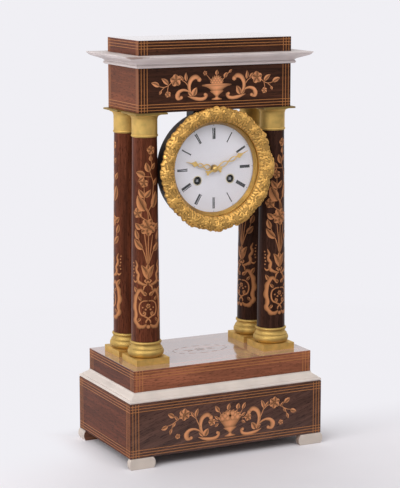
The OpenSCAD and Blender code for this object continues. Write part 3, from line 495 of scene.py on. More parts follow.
@finish
def studio_paper(tree, place, colour, backdrop):
    """Matt studio paper that keeps the shadow near the object and runs into the background further off."""
    axes = split(tree, place)
    ray = add(tree, "ShaderNodeLightPath")
    tone = ramp(tree, noise(tree, place, 60.0, 2.0), colour, (0.3, 0.985), (0.7, 1.0))
    # Painted shadow: the paper is painted a shade deeper before the object, where the backdrop's light doesn't reach.
    before = (vector_maths(tree, "DISTANCE", place, (-0.08, -0.26, 0.0)), "Value")
    sheet = dimmed(tree, tone, spread(tree, before, 0.79, 1.02, 0.02, 0.38, eased=True))
    shown = surface(tree, sheet, 0.7, more={"Specular IOR Level": 0.2})
    # Polish sees the floor in front fall off into a dim room and the floor behind run into the backdrop.
    depth = spread(tree, (axes, "Y"), 0.0, 1.0, -1.0, 1.0)
    stops = [(0.38, shade(WHITE, 0.09)), (0.5, shade(WHITE, 0.3)), (0.62, backdrop)]
    mirrored = add(tree, "ShaderNodeEmission", {"Color": add(tree, "ShaderNodeValToRGB", {"Fac": depth}, stops)})
    glow = add(tree, "ShaderNodeEmission", {"Color": backdrop})
    seen = maths(tree, "MAXIMUM", (ray, "Is Camera Ray"), (ray, "Is Transmission Ray"))
    # From the object's front edge backwards the paper soon shines as pale as the backdrop, but not in its shadow.
    half = [(high - low) / 2 for low, high in zip(*CAD_BOX)]
    gaps = split(tree, vector_maths(tree, "SUBTRACT", vector_maths(tree, "ABSOLUTE", place), (half[0], half[1], 0.0)))
    clear = maths(tree, "MAXIMUM", (gaps, "X"), (gaps, "Y"))
    back = spread(tree, (axes, "Y"), 0.0, 0.97, -0.11, 0.06, eased=True)
    apart = spread(tree, clear, 0.0, 1.0, -0.005, 0.045, eased=True)
    behind = maths(tree, "MULTIPLY", back, apart)
    far = (vector_maths(tree, "LENGTH", place), "Value")
    for light, rays, near, away in ((mirrored, (ray, "Is Glossy Ray"), 0.12, 0.3), (glow, seen, 0.3, 0.85)):
        fade = spread(tree, far, 0.0, 1.0, near, away, eased=True)
        if light is glow:
            fade = maths(tree, "MAXIMUM", fade, behind)
        share = maths(tree, "MULTIPLY", fade, rays)
        shown = add(tree, "ShaderNodeMixShader", {0: share, 1: shown, 2: light})
    return shown


# ---------------------------------------------------------------- pieces


def show(obj, body, replaced=()):
    """Puts a finished object on a body, in place of CAD nodes."""
    if obj.name not in bpy.context.scene.collection.objects:
        bpy.context.scene.collection.objects.link(obj)
    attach(obj, body)
    if replaced:
        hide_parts(*replaced)
    return obj


def paint_nodes(material, *nodes):
    """Gives CAD nodes a finished material."""
    for node in nodes:
        slots = frame["nodes"][node].data.materials
        slots.clear()
        slots.append(material)


def mesh_from(made, name, materials=()):
    """A mesh from a bmesh whose sizes are in millimetres."""
    bmesh.ops.scale(made, vec=(MM, MM, MM), verts=made.verts)
    mesh = bpy.data.meshes.new(name)
    made.to_mesh(mesh)
    made.free()
    for material in materials:
        mesh.materials.append(material)
    return mesh


def mark(mesh, name, values):
    """Gives each point of a mesh a number that its material reads."""
    mesh.attributes.new(name, "FLOAT", "POINT").data.foreach_set("value", values)


def veneered_box(name, low, high, rounding, materials, hollow=0.0):
    """A veneered block with rubbed edges; hollow is the thickness of the walls of one that is open below and above.
    The materials are those of the fronts, the ends, the top and the inside."""
    made = bmesh.new()
    corners = [(0, 0), (1, 0), (1, 1), (0, 1)]
    ends = np.array([low, high])
    rings = []
    walls = [0.0, 0.0] + ([hollow, hollow] if hollow else [])
    for level, wall in zip((0, 1, 1, 0), walls):
        inset = (wall, -wall)
        places = [(ends[i][0] + inset[i], ends[j][1] + inset[j], ends[level][2]) for i, j in corners]
        rings.append([made.verts.new(place) for place in places])
    loops = rings + ([rings[0]] if hollow else [])
    for below, above in zip(loops, loops[1:]):
        for i in range(4):
            made.faces.new((below[i], below[(i + 1) % 4], above[(i + 1) % 4], above[i]))
    if not hollow:
        made.faces.new(rings[0][::-1])
        made.faces.new(rings[1])
    outside = set(rings[0] + rings[1])
    rubbed = [e for e in made.edges if e.verts[0] in outside and e.verts[1] in outside]
    bmesh.ops.bevel(made, geom=rubbed, offset=rounding, segments=3, affect="EDGES", profile=0.5)
    bmesh.ops.recalc_face_normals(made, faces=made.faces)
    middle = (ends[0] + ends[1]) / 2
    for face in made.faces:
        out = face.normal
        facing = max(range(3), key=lambda axis: abs(out[axis]))
        towards = (face.calc_center_median() - Vector(middle))[facing] * out[facing]
        face.material_index = 3 if hollow and facing < 2 and towards < 0 else (1, 0, 2)[facing]
    return bpy.data.objects.new(name, mesh_from(made, name, materials))


def face_place(low, high, side):
    """Where a point of a box's face lies: the panel's middle across, its bottom edge up, and the height off it."""
    right, up, out = (np.array(axis, float) for axis in FACE_AXES[side])
    middle = (low + high) / 2
    half = (high - low) / 2
    start = middle + out * float(np.abs(out) @ half)
    if side != TOP:
        start = start - up * float(np.abs(up) @ half)

    def place(x, y, height):
        return start + right * x + up * y + out * height

    return place


# ---------------------------------------------------------------- inlaid shapes


def smooth(path, steps):
    """Points of a smooth curve through the given ones."""
    p = np.array(path, float)
    q = np.vstack([2 * p[0] - p[1], p, 2 * p[-1] - p[-2]])
    made = []
    for a, b, c, d in zip(q, q[1:], q[2:], q[3:]):
        for t in np.arange(steps) / steps:
            made.append(
                0.5 * (2 * b + (c - a) * t + (2 * a - 5 * b + 4 * c - d) * t**2 + (3 * b - a - 3 * c + d) * t**3)
            )
    return np.array(made + [p[-1]])


def leftwards(line):
    """Unit vectors to the left of a curve's points."""
    along = np.gradient(line, axis=0)
    along /= np.linalg.norm(along, axis=1)[:, None]
    return np.stack([-along[:, 1], along[:, 0]], 1)


class Inlay:
    """Shapes sawn from veneer, drawn flat in a panel's millimetres; each point has its scorch, from 0 dark to 1
    pale."""

    # The width of a leaf's dark vein, and the steps by which patches lie above each other.
    VEIN = 0.16
    STEP, STEPS = 0.003, 16

    def __init__(self):
        self.points, self.scorch, self.faces = [], [], []
        self.patches = 0

    def patch(self, rows, tones, level=0.0, ring=False):
        """A patch between rows of points; ring joins each row's ends. Each patch lies a hair off the one before, so
        that patches that cross share no plane."""
        rows = np.array(rows, float)
        high, wide = rows.shape[:2]
        first = len(self.points)
        self.patches += 1
        level += self.STEP * (self.patches % self.STEPS)
        self.points += [(x, y, level) for x, y in rows.reshape(-1, 2)]
        self.scorch += [tone for row in tones for tone in row]
        faces, area = [], 0.0
        for i in range(high - 1):
            for j in range(wide if ring else wide - 1):
                a, b = first + i * wide + j, first + i * wide + (j + 1) % wide
                faces.append((a, b, b + wide, a + wide))
                p, q, r, t = (self.points[k] for k in faces[-1])
                area += (r[0] - p[0]) * (t[1] - q[1]) - (t[0] - q[0]) * (r[1] - p[1])
        self.faces += faces if area > 0 else [face[::-1] for face in faces]

    def band(self, path, widths, lobes=0, side=1, steps=6):
        """A band along a curve, tapering by its half widths; lobes cut one edge into leaf tips."""
        line = smooth(path, max(steps, 8 * lobes // max(1, len(path) - 1)))
        t = np.linspace(0, 1, len(line))
        half = np.interp(t, np.linspace(0, 1, len(widths)), widths)
        cut = half * (1 + 0.55 * np.abs(np.sin(lobes * np.pi * t))) if lobes else half
        left, right = (cut, half * 0.75) if side > 0 else (half * 0.75, cut)
        rows, tones = [], []
        for p, q, a, b, u in zip(line, leftwards(line), left, right, t):
            rows.append([p + q * a, p + q * a * 0.35, p - q * b * 0.35, p - q * b])
            shades = np.array([0.3, 0.85, 1.0, 0.62] if side > 0 else [0.62, 1.0, 0.85, 0.3])
            tones.append(shades * (0.72 + 0.28 * math.sin(math.pi * u)))
        self.patch(rows, tones)

    def leaf(self, base, tip, width, bend=0.0, level=0.0, blunt=0.85):
        """A leaf in two halves with a dark vein between them, one half scorched darker."""
        base, tip = np.array(base, float), np.array(tip, float)
        way = tip - base
        middle = (base + tip) / 2 + np.array([-way[1], way[0]]) * bend
        t = np.linspace(0, 1, max(6, int(np.linalg.norm(way) / 1.1)) + 1)
        u = t[:, None]
        line = (1 - u) ** 2 * base + 2 * u * (1 - u) * middle + u * u * tip
        half = np.maximum(0.04, width / 2 * np.maximum(0.0, np.sin(np.pi * t**0.8)) ** blunt)
        for sign, shades in ((1, (0.45, 0.85, 1.0)), (-1, (0.15, 0.42, 0.74))):
            rows = []
            for p, q, h in zip(line, leftwards(line), half):
                vein = min(self.VEIN / 2, h * 0.3)
                rows.append([p + q * sign * (vein + (h - vein) * k) for k in (0.0, 0.5, 1.0)])
            self.patch(rows, [shades] * len(rows), level)

    def hoop(self, centre, radii, tones, level=0.0, count=14):
        """A ring of veneer through circles of points, each circle with its tone."""
        turns = np.linspace(0, 2 * np.pi, count + 1)[:-1]
        rows = [[np.array(centre) + r * np.array([np.cos(a), np.sin(a)]) for a in turns] for r in radii]
        self.patch(rows, [[tone] * count for tone in tones], level, ring=True)

    def disc(self, centre, radius, tones=(1.0, 0.8, 0.5), level=0.0):
        """A round of veneer."""
        self.hoop(centre, (0.02 * radius, 0.5 * radius, radius), tones, level)

    def flower(self, centre, radius, petals=5, turn=0.3, level=0.0):
        """A flower of broad petals round a small dark eye."""
        centre = np.array(centre, float)
        for i in range(petals):
            a = turn + 2 * np.pi * i / petals
            way = np.array([np.cos(a), np.sin(a)])
            self.leaf(centre + 0.12 * radius * way, centre + radius * way, 5.0 * radius / petals, 0.12, level, 0.5)
        self.disc(centre, 0.24 * radius, (0.5, 0.3, 0.15), level + 0.05)

    def rose(self, centre, radius):
        """A full flower: a ring of broad petals, a second ring over it and a dark heart."""
        self.flower(centre, radius, 7, turn=0.2)
        self.flower(centre, radius * 0.62, 5, turn=0.7, level=0.06)

    def vase(self, axis, outline):
        """A turned vase, from its half widths up its height, lit from one side."""
        rows = [[(axis + h * k, y) for k in (-1, -0.5, 0, 0.5, 1)] for h, y in outline]
        tones = [[0.4, 0.8, 1.0, 0.7, 0.3] if i % 3 else [0.25, 0.5, 0.6, 0.45, 0.2] for i in range(len(rows))]
        self.patch(rows, tones)

    def mound(self, axis, low, half, high, fruit):
        """Fruit and flower heads heaped in a vase: a dome fringed with pointed leaves, under rounds that run into each
        other."""

        def at(x, y):
            return (axis + half * x, low + high * y)

        for a in np.linspace(-1.25, 1.25, 9):
            c, s = math.cos(a), math.sin(a)
            self.leaf(at(0.7 * s, 0.7 * c), at(1.22 * s, 1.3 * c), half * 0.34)
        arc = np.linspace(-1.57, 1.57, 15)
        rows = [[at(t * math.sin(a), t * math.cos(a)) for a in arc] for t in (0.02, 0.5, 1.0)]
        self.patch(rows, [[tone] * len(arc) for tone in (0.8, 0.75, 0.5)], 0.04)
        for x, y in fruit:
            self.disc(at(x, y), half * 0.23, (1.0, 0.85, 0.5), 0.06 + 0.02 * y)

    def spray(self, design, axis=0.0, mirror=1):
        """Bands, leaves, flowers and rounds of a design, drawn to the right of an axis or mirrored to its left. A band
        is given by its path and half widths, and where it isn't plain, by the number of its lobes and the side that is
        cut and scorched: 1 the left, -1 the right."""

        def at(point):
            return (axis + mirror * point[0], point[1])

        for path, widths, *cut in design.get("bands", ()):
            lobes, side = cut or (0, 1)
            self.band([at(p) for p in path], widths, lobes, side * mirror)
        for base, tip, width, bend in design.get("leaves", ()):
            self.leaf(at(base), at(tip), width, bend * mirror)
        for centre, radius, petals in design.get("flowers", ()):
            self.flower(at(centre), radius, petals)
        for centre, radius in design.get("rounds", ()):
            self.disc(at(centre), radius, level=0.05)


def lay(name, inlay, place, proud, deep, material, body):
    """Lays drawn veneer into a surface as thin plates: place gives the point for a panel's x, y and height."""
    count = len(inlay.points)
    verts = [place(x, y, proud + level) for x, y, level in inlay.points]
    verts += [place(x, y, -deep) for x, y, level in inlay.points]
    faces = inlay.faces + [tuple(i + count for i in face[::-1]) for face in inlay.faces]
    edges = {edge for face in inlay.faces for edge in zip(face, face[1:] + face[:1])}
    faces += [(b, a, a + count, b + count) for a, b in sorted(edges) if (b, a) not in edges]
    mesh = bpy.data.meshes.new(name)
    mesh.from_pydata([tuple(c * MM for c in vert) for vert in verts], [], faces)
    mark(mesh, "scorch", [float(tone) for tone in inlay.scorch] * 2)
    mesh.materials.append(material)
    return show(bpy.data.objects.new(name, mesh), body)


# ---------------------------------------------------------------- Geometry Nodes


def start_tree(name, sockets):
    """A Geometry Nodes tree with a geometry input, the named inputs and a material."""
    tree = bpy.data.node_groups.new(name, "GeometryNodeTree")
    tree.interface.new_socket("Geometry", in_out="INPUT", socket_type="NodeSocketGeometry")
    for label, kind in sockets:
        tree.interface.new_socket(label, in_out="INPUT", socket_type=kind)
    tree.interface.new_socket("Material", in_out="INPUT", socket_type="NodeSocketMaterial")
    tree.interface.new_socket("Geometry", in_out="OUTPUT", socket_type="NodeSocketGeometry")
    return tree, add(tree, "NodeGroupInput")


def end_tree(tree, given, made):
    """Realizes what a tree made, gives it the material and puts it out."""
    real = add(tree, "GeometryNodeRealizeInstances", {"Geometry": made})
    painted = add(tree, "GeometryNodeSetMaterial", {"Geometry": real, "Material": (given, "Material")})
    add(tree, "NodeGroupOutput", {"Geometry": painted})
    return tree


def grow(name, source, tree, values, body):
    """Runs a tree on a source mesh and keeps the result as a plain mesh piece."""
    obj = bpy.data.objects.new(name, source)
    bpy.context.scene.collection.objects.link(obj)
    modifier = obj.modifiers.new(tree.name, "NODES")
    modifier.node_group = tree
    for item in tree.interface.items_tree:
        if item.in_out == "INPUT" and item.name in values:
            modifier[item.identifier] = values[item.name]
    graph = bpy.context.evaluated_depsgraph_get()
    made = bpy.data.meshes.new_from_object(obj.evaluated_get(graph), depsgraph=graph)
    if not made.polygons:
        raise RuntimeError(f"{tree.name} made nothing for {name}")
    obj.modifiers.clear()
    obj.data = made
    made.name = name
    return show(obj, body)


def inlaid_line_tree():
    """Square strips of veneer let in along the edges of a wire mesh."""
    tree, given = start_tree("Inlaid lines", [("Width", "NodeSocketFloat"), ("Depth", "NodeSocketFloat")])
    wire = add(tree, "GeometryNodeMeshToCurve", {"Mesh": (given, "Geometry")})
    strip = add(
        tree, "GeometryNodeCurvePrimitiveQuadrilateral", {"Width": (given, "Width"), "Height": (given, "Depth")}
    )
    line = add(tree, "GeometryNodeCurveToMesh", {"Curve": wire, "Profile Curve": strip, "Fill Caps": True})
    return end_tree(tree, given, line)


def hour_dot_tree():
    """Round dots on a ring, set on the dial's face."""
    tree, given = start_tree(
        "Hour dots",
        [
            ("Count", "NodeSocketInt"), ("Ring radius", "NodeSocketFloat"), ("Dot radius", "NodeSocketFloat"),
            ("Thickness", "NodeSocketFloat"), ("Middle", "NodeSocketVector"),
        ],
    )
    ring = add(tree, "GeometryNodeMeshCircle", {"Vertices": (given, "Count"), "Radius": (given, "Ring radius")})
    dot = add(
        tree, "GeometryNodeMeshCylinder",
        {"Vertices": 14, "Radius": (given, "Dot radius"), "Depth": (given, "Thickness")},
    )
    dots = add(tree, "GeometryNodeInstanceOnPoints", {"Points": ring, "Instance": (dot, "Mesh")})
    upright = add(
        tree, "GeometryNodeTransform",
        {"Geometry": dots, "Translation": (given, "Middle"), "Rotation": (math.pi / 2, 0.0, 0.0)},
    )
    return end_tree(tree, given, upright)


# ---------------------------------------------------------------- case


# Thickness of the plinth's boards.
CASE_WALL = 12.0


def case_woods(settings):
    """The case's veneers by name."""
    return {
        "front": rosewood_veneer("rosewood_veneer_polished", settings.front_wood, "XY", 1.0),
        "plinth": rosewood_veneer("rosewood_veneer_grey_cut", settings.plinth_wood, "XY", 0.65, tilt=0.3),
        "side": rosewood_veneer("rosewood_veneer_light_cut", settings.side_wood, "XY", 0.5, 0.05, 0.06),
        "end": rosewood_veneer("rosewood_veneer_brown_cut", settings.end_wood, "XY", 0.5, 0.05, 0.06),
        "step": rosewood_veneer("rosewood_veneer_red_cut", settings.step_wood, "XY", 0.4),
        "top": rosewood_veneer("rosewood_veneer_mirror_polish", settings.step_wood, "X", 0.7, 1.0, 0.5, mirror=True),
        "column": rosewood_veneer("rosewood_veneer_upright", settings.column_wood, "Z", 0.85, 0.08, 0.1),
        "column_shaded": rosewood_veneer("rosewood_veneer_upright_dark", settings.column_shaded_wood, "Z", 0.8, 0.03, 0.06),
        "bare": bare_softwood("softwood_planed", settings.softwood),
    }


def clock_metals(gilding):
    """The metals of rods, drum, hinge and movement by name."""
    return {
        "brass": turned_metal("brass_brushed", gilding.brass, 0.26, 0.42),
        "steel": turned_metal("steel_drawn", gilding.steel, 0.32, 0.5),
        "blued": turned_metal("steel_blued", linear("#39435a"), 0.25, 0.4),
    }


class CLOCK_OT_case(bpy.types.Operator):
    """Builds the veneered plinth, step, entablature and top block"""

    bl_idname = "clock.case"
    bl_label = "Case veneers"

    def execute(self, context):
        settings = context.scene.clock_case
        woods = case_woods(settings)
        rounding = settings.edge_wear / MM
        boards = [f"plinth_{side}_board" for side in ("front", "back", "left", "right")]
        spans = [span(board) for board in boards]
        low = np.min([s[0] for s in spans], axis=0)
        high = np.max([s[1] for s in spans], axis=0)
        plinth = veneered_box(
            "veneered_plinth", low, high, rounding,
            [woods["plinth"], woods["end"], woods["bare"], woods["bare"]], CASE_WALL,
        )
        show(plinth, "case", boards)
        step = veneered_box(
            "veneered_step", *span("plinth_step"), rounding, [woods["step"], woods["end"], woods["top"]]
        )
        show(step, "case", ["plinth_step"])
        for node, end in (("entablature", "side"), ("top_block", "end")):
            block = veneered_box(
                f"veneered_{node}", *span(node), rounding, [woods["front"], woods[end], woods["top"]]
            )
            show(block, "case", [node])
        paint_nodes(woods["bare"], "plinth_deck")
        return {"FINISHED"}


class CLOCK_OT_mouldings(bpy.types.Operator):
    """Paints the mouldings, the cornice and the feet"""

    bl_idname = "clock.mouldings"
    bl_label = "Mouldings and feet"

    # Where the cornice is rubbed, from its front left top corner, and the lengths of that patch.
    RUBBED, PATCH = (3.0, 0.0, -0.6), (26.0, 14.0, 2.2)

    def execute(self, context):
        settings = context.scene.clock_case
        low, high = span("cornice")
        worn = (np.array((low[0], low[1], high[2])) + self.RUBBED, self.PATCH)
        wood = settings.softwood
        paint_nodes(painted_wood("cream_paint_brushed", settings.paint, wood), "plinth_moulding")
        paint_nodes(painted_wood("cream_paint_rubbed_corner", settings.cornice_paint_shaded, wood, worn=worn), "cornice")
        paint_nodes(painted_wood("cream_paint_on_bare_feet", settings.foot_paint_shaded, wood, inside=True), "feet")
        return {"FINISHED"}


class CLOCK_OT_columns(bpy.types.Operator):
    """Finishes the columns, their gilt bases and capitals, and their rods"""

    bl_idname = "clock.columns"
    bl_label = "Columns"

    # Thickness of the square plates on the capitals and under the bases, and the tones below and above their edges: the
    # capitals' plates are darkened as painted shade under the entablature, and the plates under the bases are painted
    # 1.3 times lighter than the bases' turned parts.
    TOP_PLATE, FOOT_PLATE = 1.9, 7.3
    TOP_TONES, FOOT_TONES = (1.0, 0.48), (1.3, 1.0)

    def execute(self, context):
        gilding = context.scene.clock_gilt
        woods = case_woods(context.scene.clock_case)
        for node in COLUMNS:
            # The right columns take the darker veneer, which paints their shade.
            paint_nodes(woods["column" if "left" in node else "column_shaded"], node)
        top = (span("column_capitals")[1][2] - self.TOP_PLATE, *self.TOP_TONES)
        foot = (span("column_bases")[0][2] + self.FOOT_PLATE, *self.FOOT_TONES)
        # The bases' gilding is darker than the capitals' as painted shade.
        for node, name, share, dull, plate in (
            ("column_capitals", "gilt_brass_matt", 0.9, 0.3, top),
            ("column_bases", "gilt_brass_matt_foot", 0.76, 0.2, foot),
        ):
            paint_nodes(gilt_brass(name, shade(gilding.gilt, share), 0.52, 0.64, dull, plate=plate), node)
        paint_nodes(clock_metals(gilding)["steel"], "column_rods", "rod_nuts")
        return {"FINISHED"}


class CLOCK_OT_stringing(bpy.types.Operator):
    """Lets the light lines and crossbands into the case's faces"""

    bl_idname = "clock.stringing"
    bl_label = "Stringing"

    # For each block: the lines on its front and on its ends, by edge.
    LINES = {
        "plinth": ("top bottom left right", "top bottom left right"),
        "plinth_step": ("top left right", "top left right"),
        "entablature": ("bottom left right", "bottom"),
        "top_block": ("top left right", "top"),
    }
    COUNT, PROUD = 3, 0.05
    # Upright lines stand this much wider apart than level ones and lie this much over them.
    UPRIGHT, OVER = 1.12, 0.01
    LINE_SCORCH, BAND_SCORCH = 0.85, (0.7, 0.95)
    BAND_PROUD, BAND_DEEP = 0.02, 0.3

    def faces(self):
        """The lined faces: the edges that have lines, the place of a face's points, its width, its height, and whether
        it takes crossbands."""
        for block, (front, ends) in self.LINES.items():
            low, high = span("plinth_front_board" if block == "plinth" else block)
            if block == "plinth":
                high = np.array([high[0], -low[1], high[2]])
            size = high - low
            yield front.split(), face_place(low, high, FRONT), size[0], size[2], False
            for side in (LEFT, RIGHT):
                yield ends.split(), face_place(low, high, side), size[1], size[2], "left" not in ends

    def wires(self, settings):
        """The lines' middles, as the edges of a mesh."""
        verts = []
        trim = settings.edge_wear / MM
        level = self.PROUD - settings.line_width / MM / 2
        for edges, place, wide, tall, _ in self.faces():
            for edge in edges:
                for i in range(self.COUNT):
                    off = (settings.line_edge + i * settings.line_gap) / MM
                    if edge in ("top", "bottom"):
                        y = off if edge == "bottom" else tall - off
                        ends = [(-wide / 2 + trim, y, level), (wide / 2 - trim, y, level)]
                    else:
                        x = (wide / 2 - off * self.UPRIGHT) * (-1 if edge == "left" else 1)
                        ends = [(x, y, level + self.OVER) for y in (trim, tall - trim)]
                    verts += [tuple(place(*end) * MM) for end in ends]
        wire = bpy.data.meshes.new("stringing_wire")
        wire.from_pydata(verts, [(k, k + 1) for k in range(0, len(verts), 2)], [])
        return wire

    def execute(self, context):
        settings = context.scene.clock_case
        strings = light_veneer("boxwood_stringing", settings.line_wood)
        values = {"Width": settings.line_width, "Depth": settings.line_width, "Material": strings}
        lines = grow("stringing", self.wires(settings), inlaid_line_tree(), values, "case").data
        mark(lines, "scorch", [self.LINE_SCORCH] * len(lines.vertices))
        band_wood = light_veneer("tulipwood_crossband", settings.band_wood)
        inner, outer = settings.band_width / MM, settings.edge_wear / MM
        banded = [face[1:4] for face in self.faces() if face[4]]
        for index, (place, wide, tall) in enumerate(banded):
            drawn = Inlay()
            for sign in (-1, 1):
                across = (sign * (wide / 2 - inner), sign * (wide / 2 - outer))
                rows = [[(x, y) for x in across] for y in np.linspace(outer, tall - outer, 9)]
                drawn.patch(rows, [self.BAND_SCORCH] * len(rows))
            lay(f"crossband_{index}", drawn, place, self.BAND_PROUD, self.BAND_DEEP, band_wood, "case")
        return {"FINISHED"}


# ---------------------------------------------------------------- marquetry


VASE_LOW = [
    (7.0, 11.2), (7.0, 12.6), (2.4, 14.0), (1.7, 15.8), (3.8, 18.2), (8.8, 21.4), (6.8, 22.4), (8.6, 25.4),
    (11.4, 28.6), (13.2, 31.6),
]
PLINTH_DESIGN = {
    "bands": [
        ([(34.4, 17.6), (37.4, 24.0), (38.0, 31.0), (35.4, 37.4), (29.6, 40.2), (24.2, 36.8)],
         [1.4, 2.1, 2.6, 3.0, 3.0, 2.2], 0, -1),
        ([(41.0, 15.2), (35.4, 13.2), (29.4, 12.0), (22.4, 11.6), (16.8, 13.0), (14.6, 16.6), (16.6, 18.4)],
         [0.3, 1.6, 2.2, 2.2, 2.1, 1.8, 1.2]),
        ([(36.0, 19.4), (41.0, 23.8), (47.0, 26.0), (53.0, 24.8), (57.2, 20.2), (55.4, 15.2), (50.4, 14.4)],
         [0.6, 0.9, 1.2, 2.3, 3.0, 2.7, 1.4], 2, -1),
        ([(38.4, 27.0), (42.2, 34.0), (44.4, 40.0)], [0.8, 0.6, 0.45]),
        ([(43.2, 37.0), (48.0, 41.0), (53.6, 43.0)], [0.5, 0.4]),
        ([(61.4, 43.0), (68.0, 38.6), (75.0, 34.6), (80.6, 33.2)], [0.5, 0.45, 0.45, 0.4]),
        ([(68.0, 38.6), (70.6, 42.0), (72.4, 43.8)], [0.4, 0.4, 0.35]),
        ([(72.0, 36.0), (74.2, 31.4), (75.2, 28.4)], [0.4, 0.4, 0.35]),
        ([(15.4, 30.6), (18.4, 31.6), (21.0, 31.2)], [0.5, 0.4]),
    ],
    "leaves": [
        ((44.4, 39.4), (41.0, 49.4), 4.4, -0.1), ((46.6, 40.4), (51.0, 46.6), 3.0, 0.1),
        ((72.0, 42.4), (79.6, 47.2), 5.4, 0.12), ((80.0, 33.4), (88.2, 30.4), 5.2, -0.12),
        ((74.6, 29.6), (77.2, 22.6), 3.2, 0.1), ((70.2, 36.4), (73.6, 31.0), 3.2, 0.1),
        ((66.4, 38.6), (70.8, 44.4), 3.0, -0.1), ((15.0, 33.0), (20.4, 37.4), 3.2, 0.1),
        ((15.2, 28.6), (20.0, 25.0), 3.0, -0.1), ((33.2, 15.2), (28.0, 24.0), 6.8, -0.1),
        ((34.6, 15.4), (40.6, 20.6), 3.6, 0.1),
    ],
    "flowers": [((23.4, 31.2), 4.6, 5), ((58.6, 44.2), 7.2, 6), ((67.2, 19.6), 3.2, 5)],
    "rounds": [((24.8, 36.6), 2.6), ((16.4, 17.6), 1.9), ((50.2, 15.6), 2.0)],
}
PLINTH_TOPS = [
    ([(-9.0, 31.6), (-11.6, 38.6), (-14.6, 43.0)], (-13.8, 42.0), (-18.8, 49.4), 5.0),
    ([(-3.4, 34.0), (-3.8, 40.0), (-2.4, 43.4)], (-2.4, 42.6), (-0.4, 50.4), 4.6),
    ([(4.6, 34.0), (8.0, 40.0), (10.2, 43.0)], (9.8, 42.4), (11.8, 49.2), 5.6),
    ([(9.6, 31.6), (14.0, 38.0), (16.8, 42.4)], (16.4, 41.6), (20.4, 49.2), 4.2),
]
VASE_HIGH = [
    (6.4, 11.6), (6.4, 13.0), (2.2, 14.2), (1.7, 15.8), (4.2, 18.2), (8.6, 21.4), (7.0, 22.4), (9.6, 24.8),
    (13.4, 26.6), (18.8, 27.8), (18.6, 29.0), (13.0, 29.8),
]
ENTABLATURE_DESIGN = {
    "bands": [
        ([(31.6, 18.4), (34.4, 24.4), (34.4, 30.8), (31.4, 36.2), (26.4, 38.2), (21.6, 35.4)],
         [1.4, 2.1, 2.6, 3.0, 3.0, 2.2], 0, -1),
        ([(36.8, 17.0), (31.4, 15.4), (26.4, 14.2), (20.4, 13.4), (15.4, 14.4), (13.2, 17.4), (15.0, 19.0)],
         [0.3, 1.6, 2.3, 2.3, 2.2, 1.9, 1.2]),
        ([(33.0, 20.4), (37.0, 23.4), (42.4, 24.6), (47.4, 22.8), (50.2, 18.8), (49.2, 15.0), (45.2, 14.6)],
         [0.6, 0.9, 1.3, 2.3, 2.8, 2.6, 1.4], 2, -1),
        ([(36.0, 28.0), (39.4, 32.4), (44.2, 35.6)], [0.5, 0.4]),
        ([(55.4, 34.6), (60.6, 30.2), (66.4, 28.2), (72.6, 29.4)], [0.5, 0.45, 0.45, 0.4]),
        ([(60.6, 30.2), (61.6, 26.4), (61.8, 23.6)], [0.4, 0.4, 0.35]),
        ([(65.0, 28.6), (68.6, 25.6), (70.4, 23.2)], [0.4, 0.4, 0.35]),
    ],
    "leaves": [
        ((38.0, 34.0), (38.6, 43.8), 3.8, -0.12), ((72.2, 29.2), (82.0, 33.6), 5.4, 0.14),
        ((61.0, 31.0), (69.4, 38.0), 5.0, 0.12), ((69.6, 24.6), (71.6, 20.0), 2.8, 0.1),
        ((42.4, 34.8), (47.2, 40.8), 3.4, 0.12), ((29.8, 16.8), (25.2, 26.6), 6.6, -0.1),
        ((31.2, 17.0), (36.4, 21.6), 3.6, 0.1),
    ],
    "flowers": [((51.6, 35.4), 7.0, 5), ((61.4, 20.2), 3.6, 5)],
    "rounds": [((22.2, 35.2), 2.6), ((14.8, 18.2), 1.9), ((44.8, 15.8), 2.0)],
}
ENTABLATURE_TOPS = [
    ([(-5.0, 31.0), (-9.4, 36.4), (-13.0, 40.4)], (-14.8, 42.4), 2.6),
    ([(0.0, 38.0), (0.2, 39.4), (0.4, 40.6)], (0.2, 39.6), (0.6, 45.6), 4.4),
    ([(5.0, 31.0), (8.6, 35.2), (11.4, 38.0)], (9.6, 36.4), (13.6, 42.4), 4.6),
    ([(11.6, 38.6), (14.4, 41.2), (17.0, 43.4)], (15.4, 41.6), (19.6, 45.4), 2.8),
]
# The half width of the stems above a vase, and the bend of their leaves.
TOP_STEM, TOP_BEND = 0.45, 0.08
# Where the fruit lies in a heap: across from its axis and up from its foot, as shares of its half width and height.
FRUIT = (
    (-0.72, 0.24), (-0.24, 0.2), (0.24, 0.2), (0.72, 0.24), (-0.48, 0.52), (0.0, 0.5), (0.48, 0.52), (-0.24, 0.78),
    (0.24, 0.78),
)
# For each panel: its block, its design, the vase, what rises out of that, its axis, and the fruit's foot, half width
# and height.
PANELS = {
    "plinth_marquetry": ("plinth_front_board", PLINTH_DESIGN, VASE_LOW, PLINTH_TOPS, 2.4, (31.2, 13.4, 9.2)),
    "entablature_marquetry": (
        "entablature", ENTABLATURE_DESIGN, VASE_HIGH, ENTABLATURE_TOPS, 0.6, (29.4, 7.4, 8.2)
    ),
}


def vase_panel(design, vase, tops, axis, heap):
    """A vase of fruit and flowers between two acanthus scrolls. Out of the vase rise stems, each with a leaf, given by
    its foot, tip and width, or with a flower, given by its middle and radius."""
    drawn = Inlay()

    def at(point):
        return (axis + point[0], point[1])

    for mirror in (-1, 1):
        drawn.spray(design, axis, mirror)
    drawn.vase(axis, vase)
    for stem, first, *rest in tops:
        drawn.band([at(p) for p in stem], [TOP_STEM, TOP_STEM * 0.8])
        if len(rest) == 2:
            drawn.leaf(at(first), at(rest[0]), rest[1], TOP_BEND)
        else:
            drawn.flower(at(first), *rest)
    drawn.mound(axis, *heap, FRUIT)
    return drawn


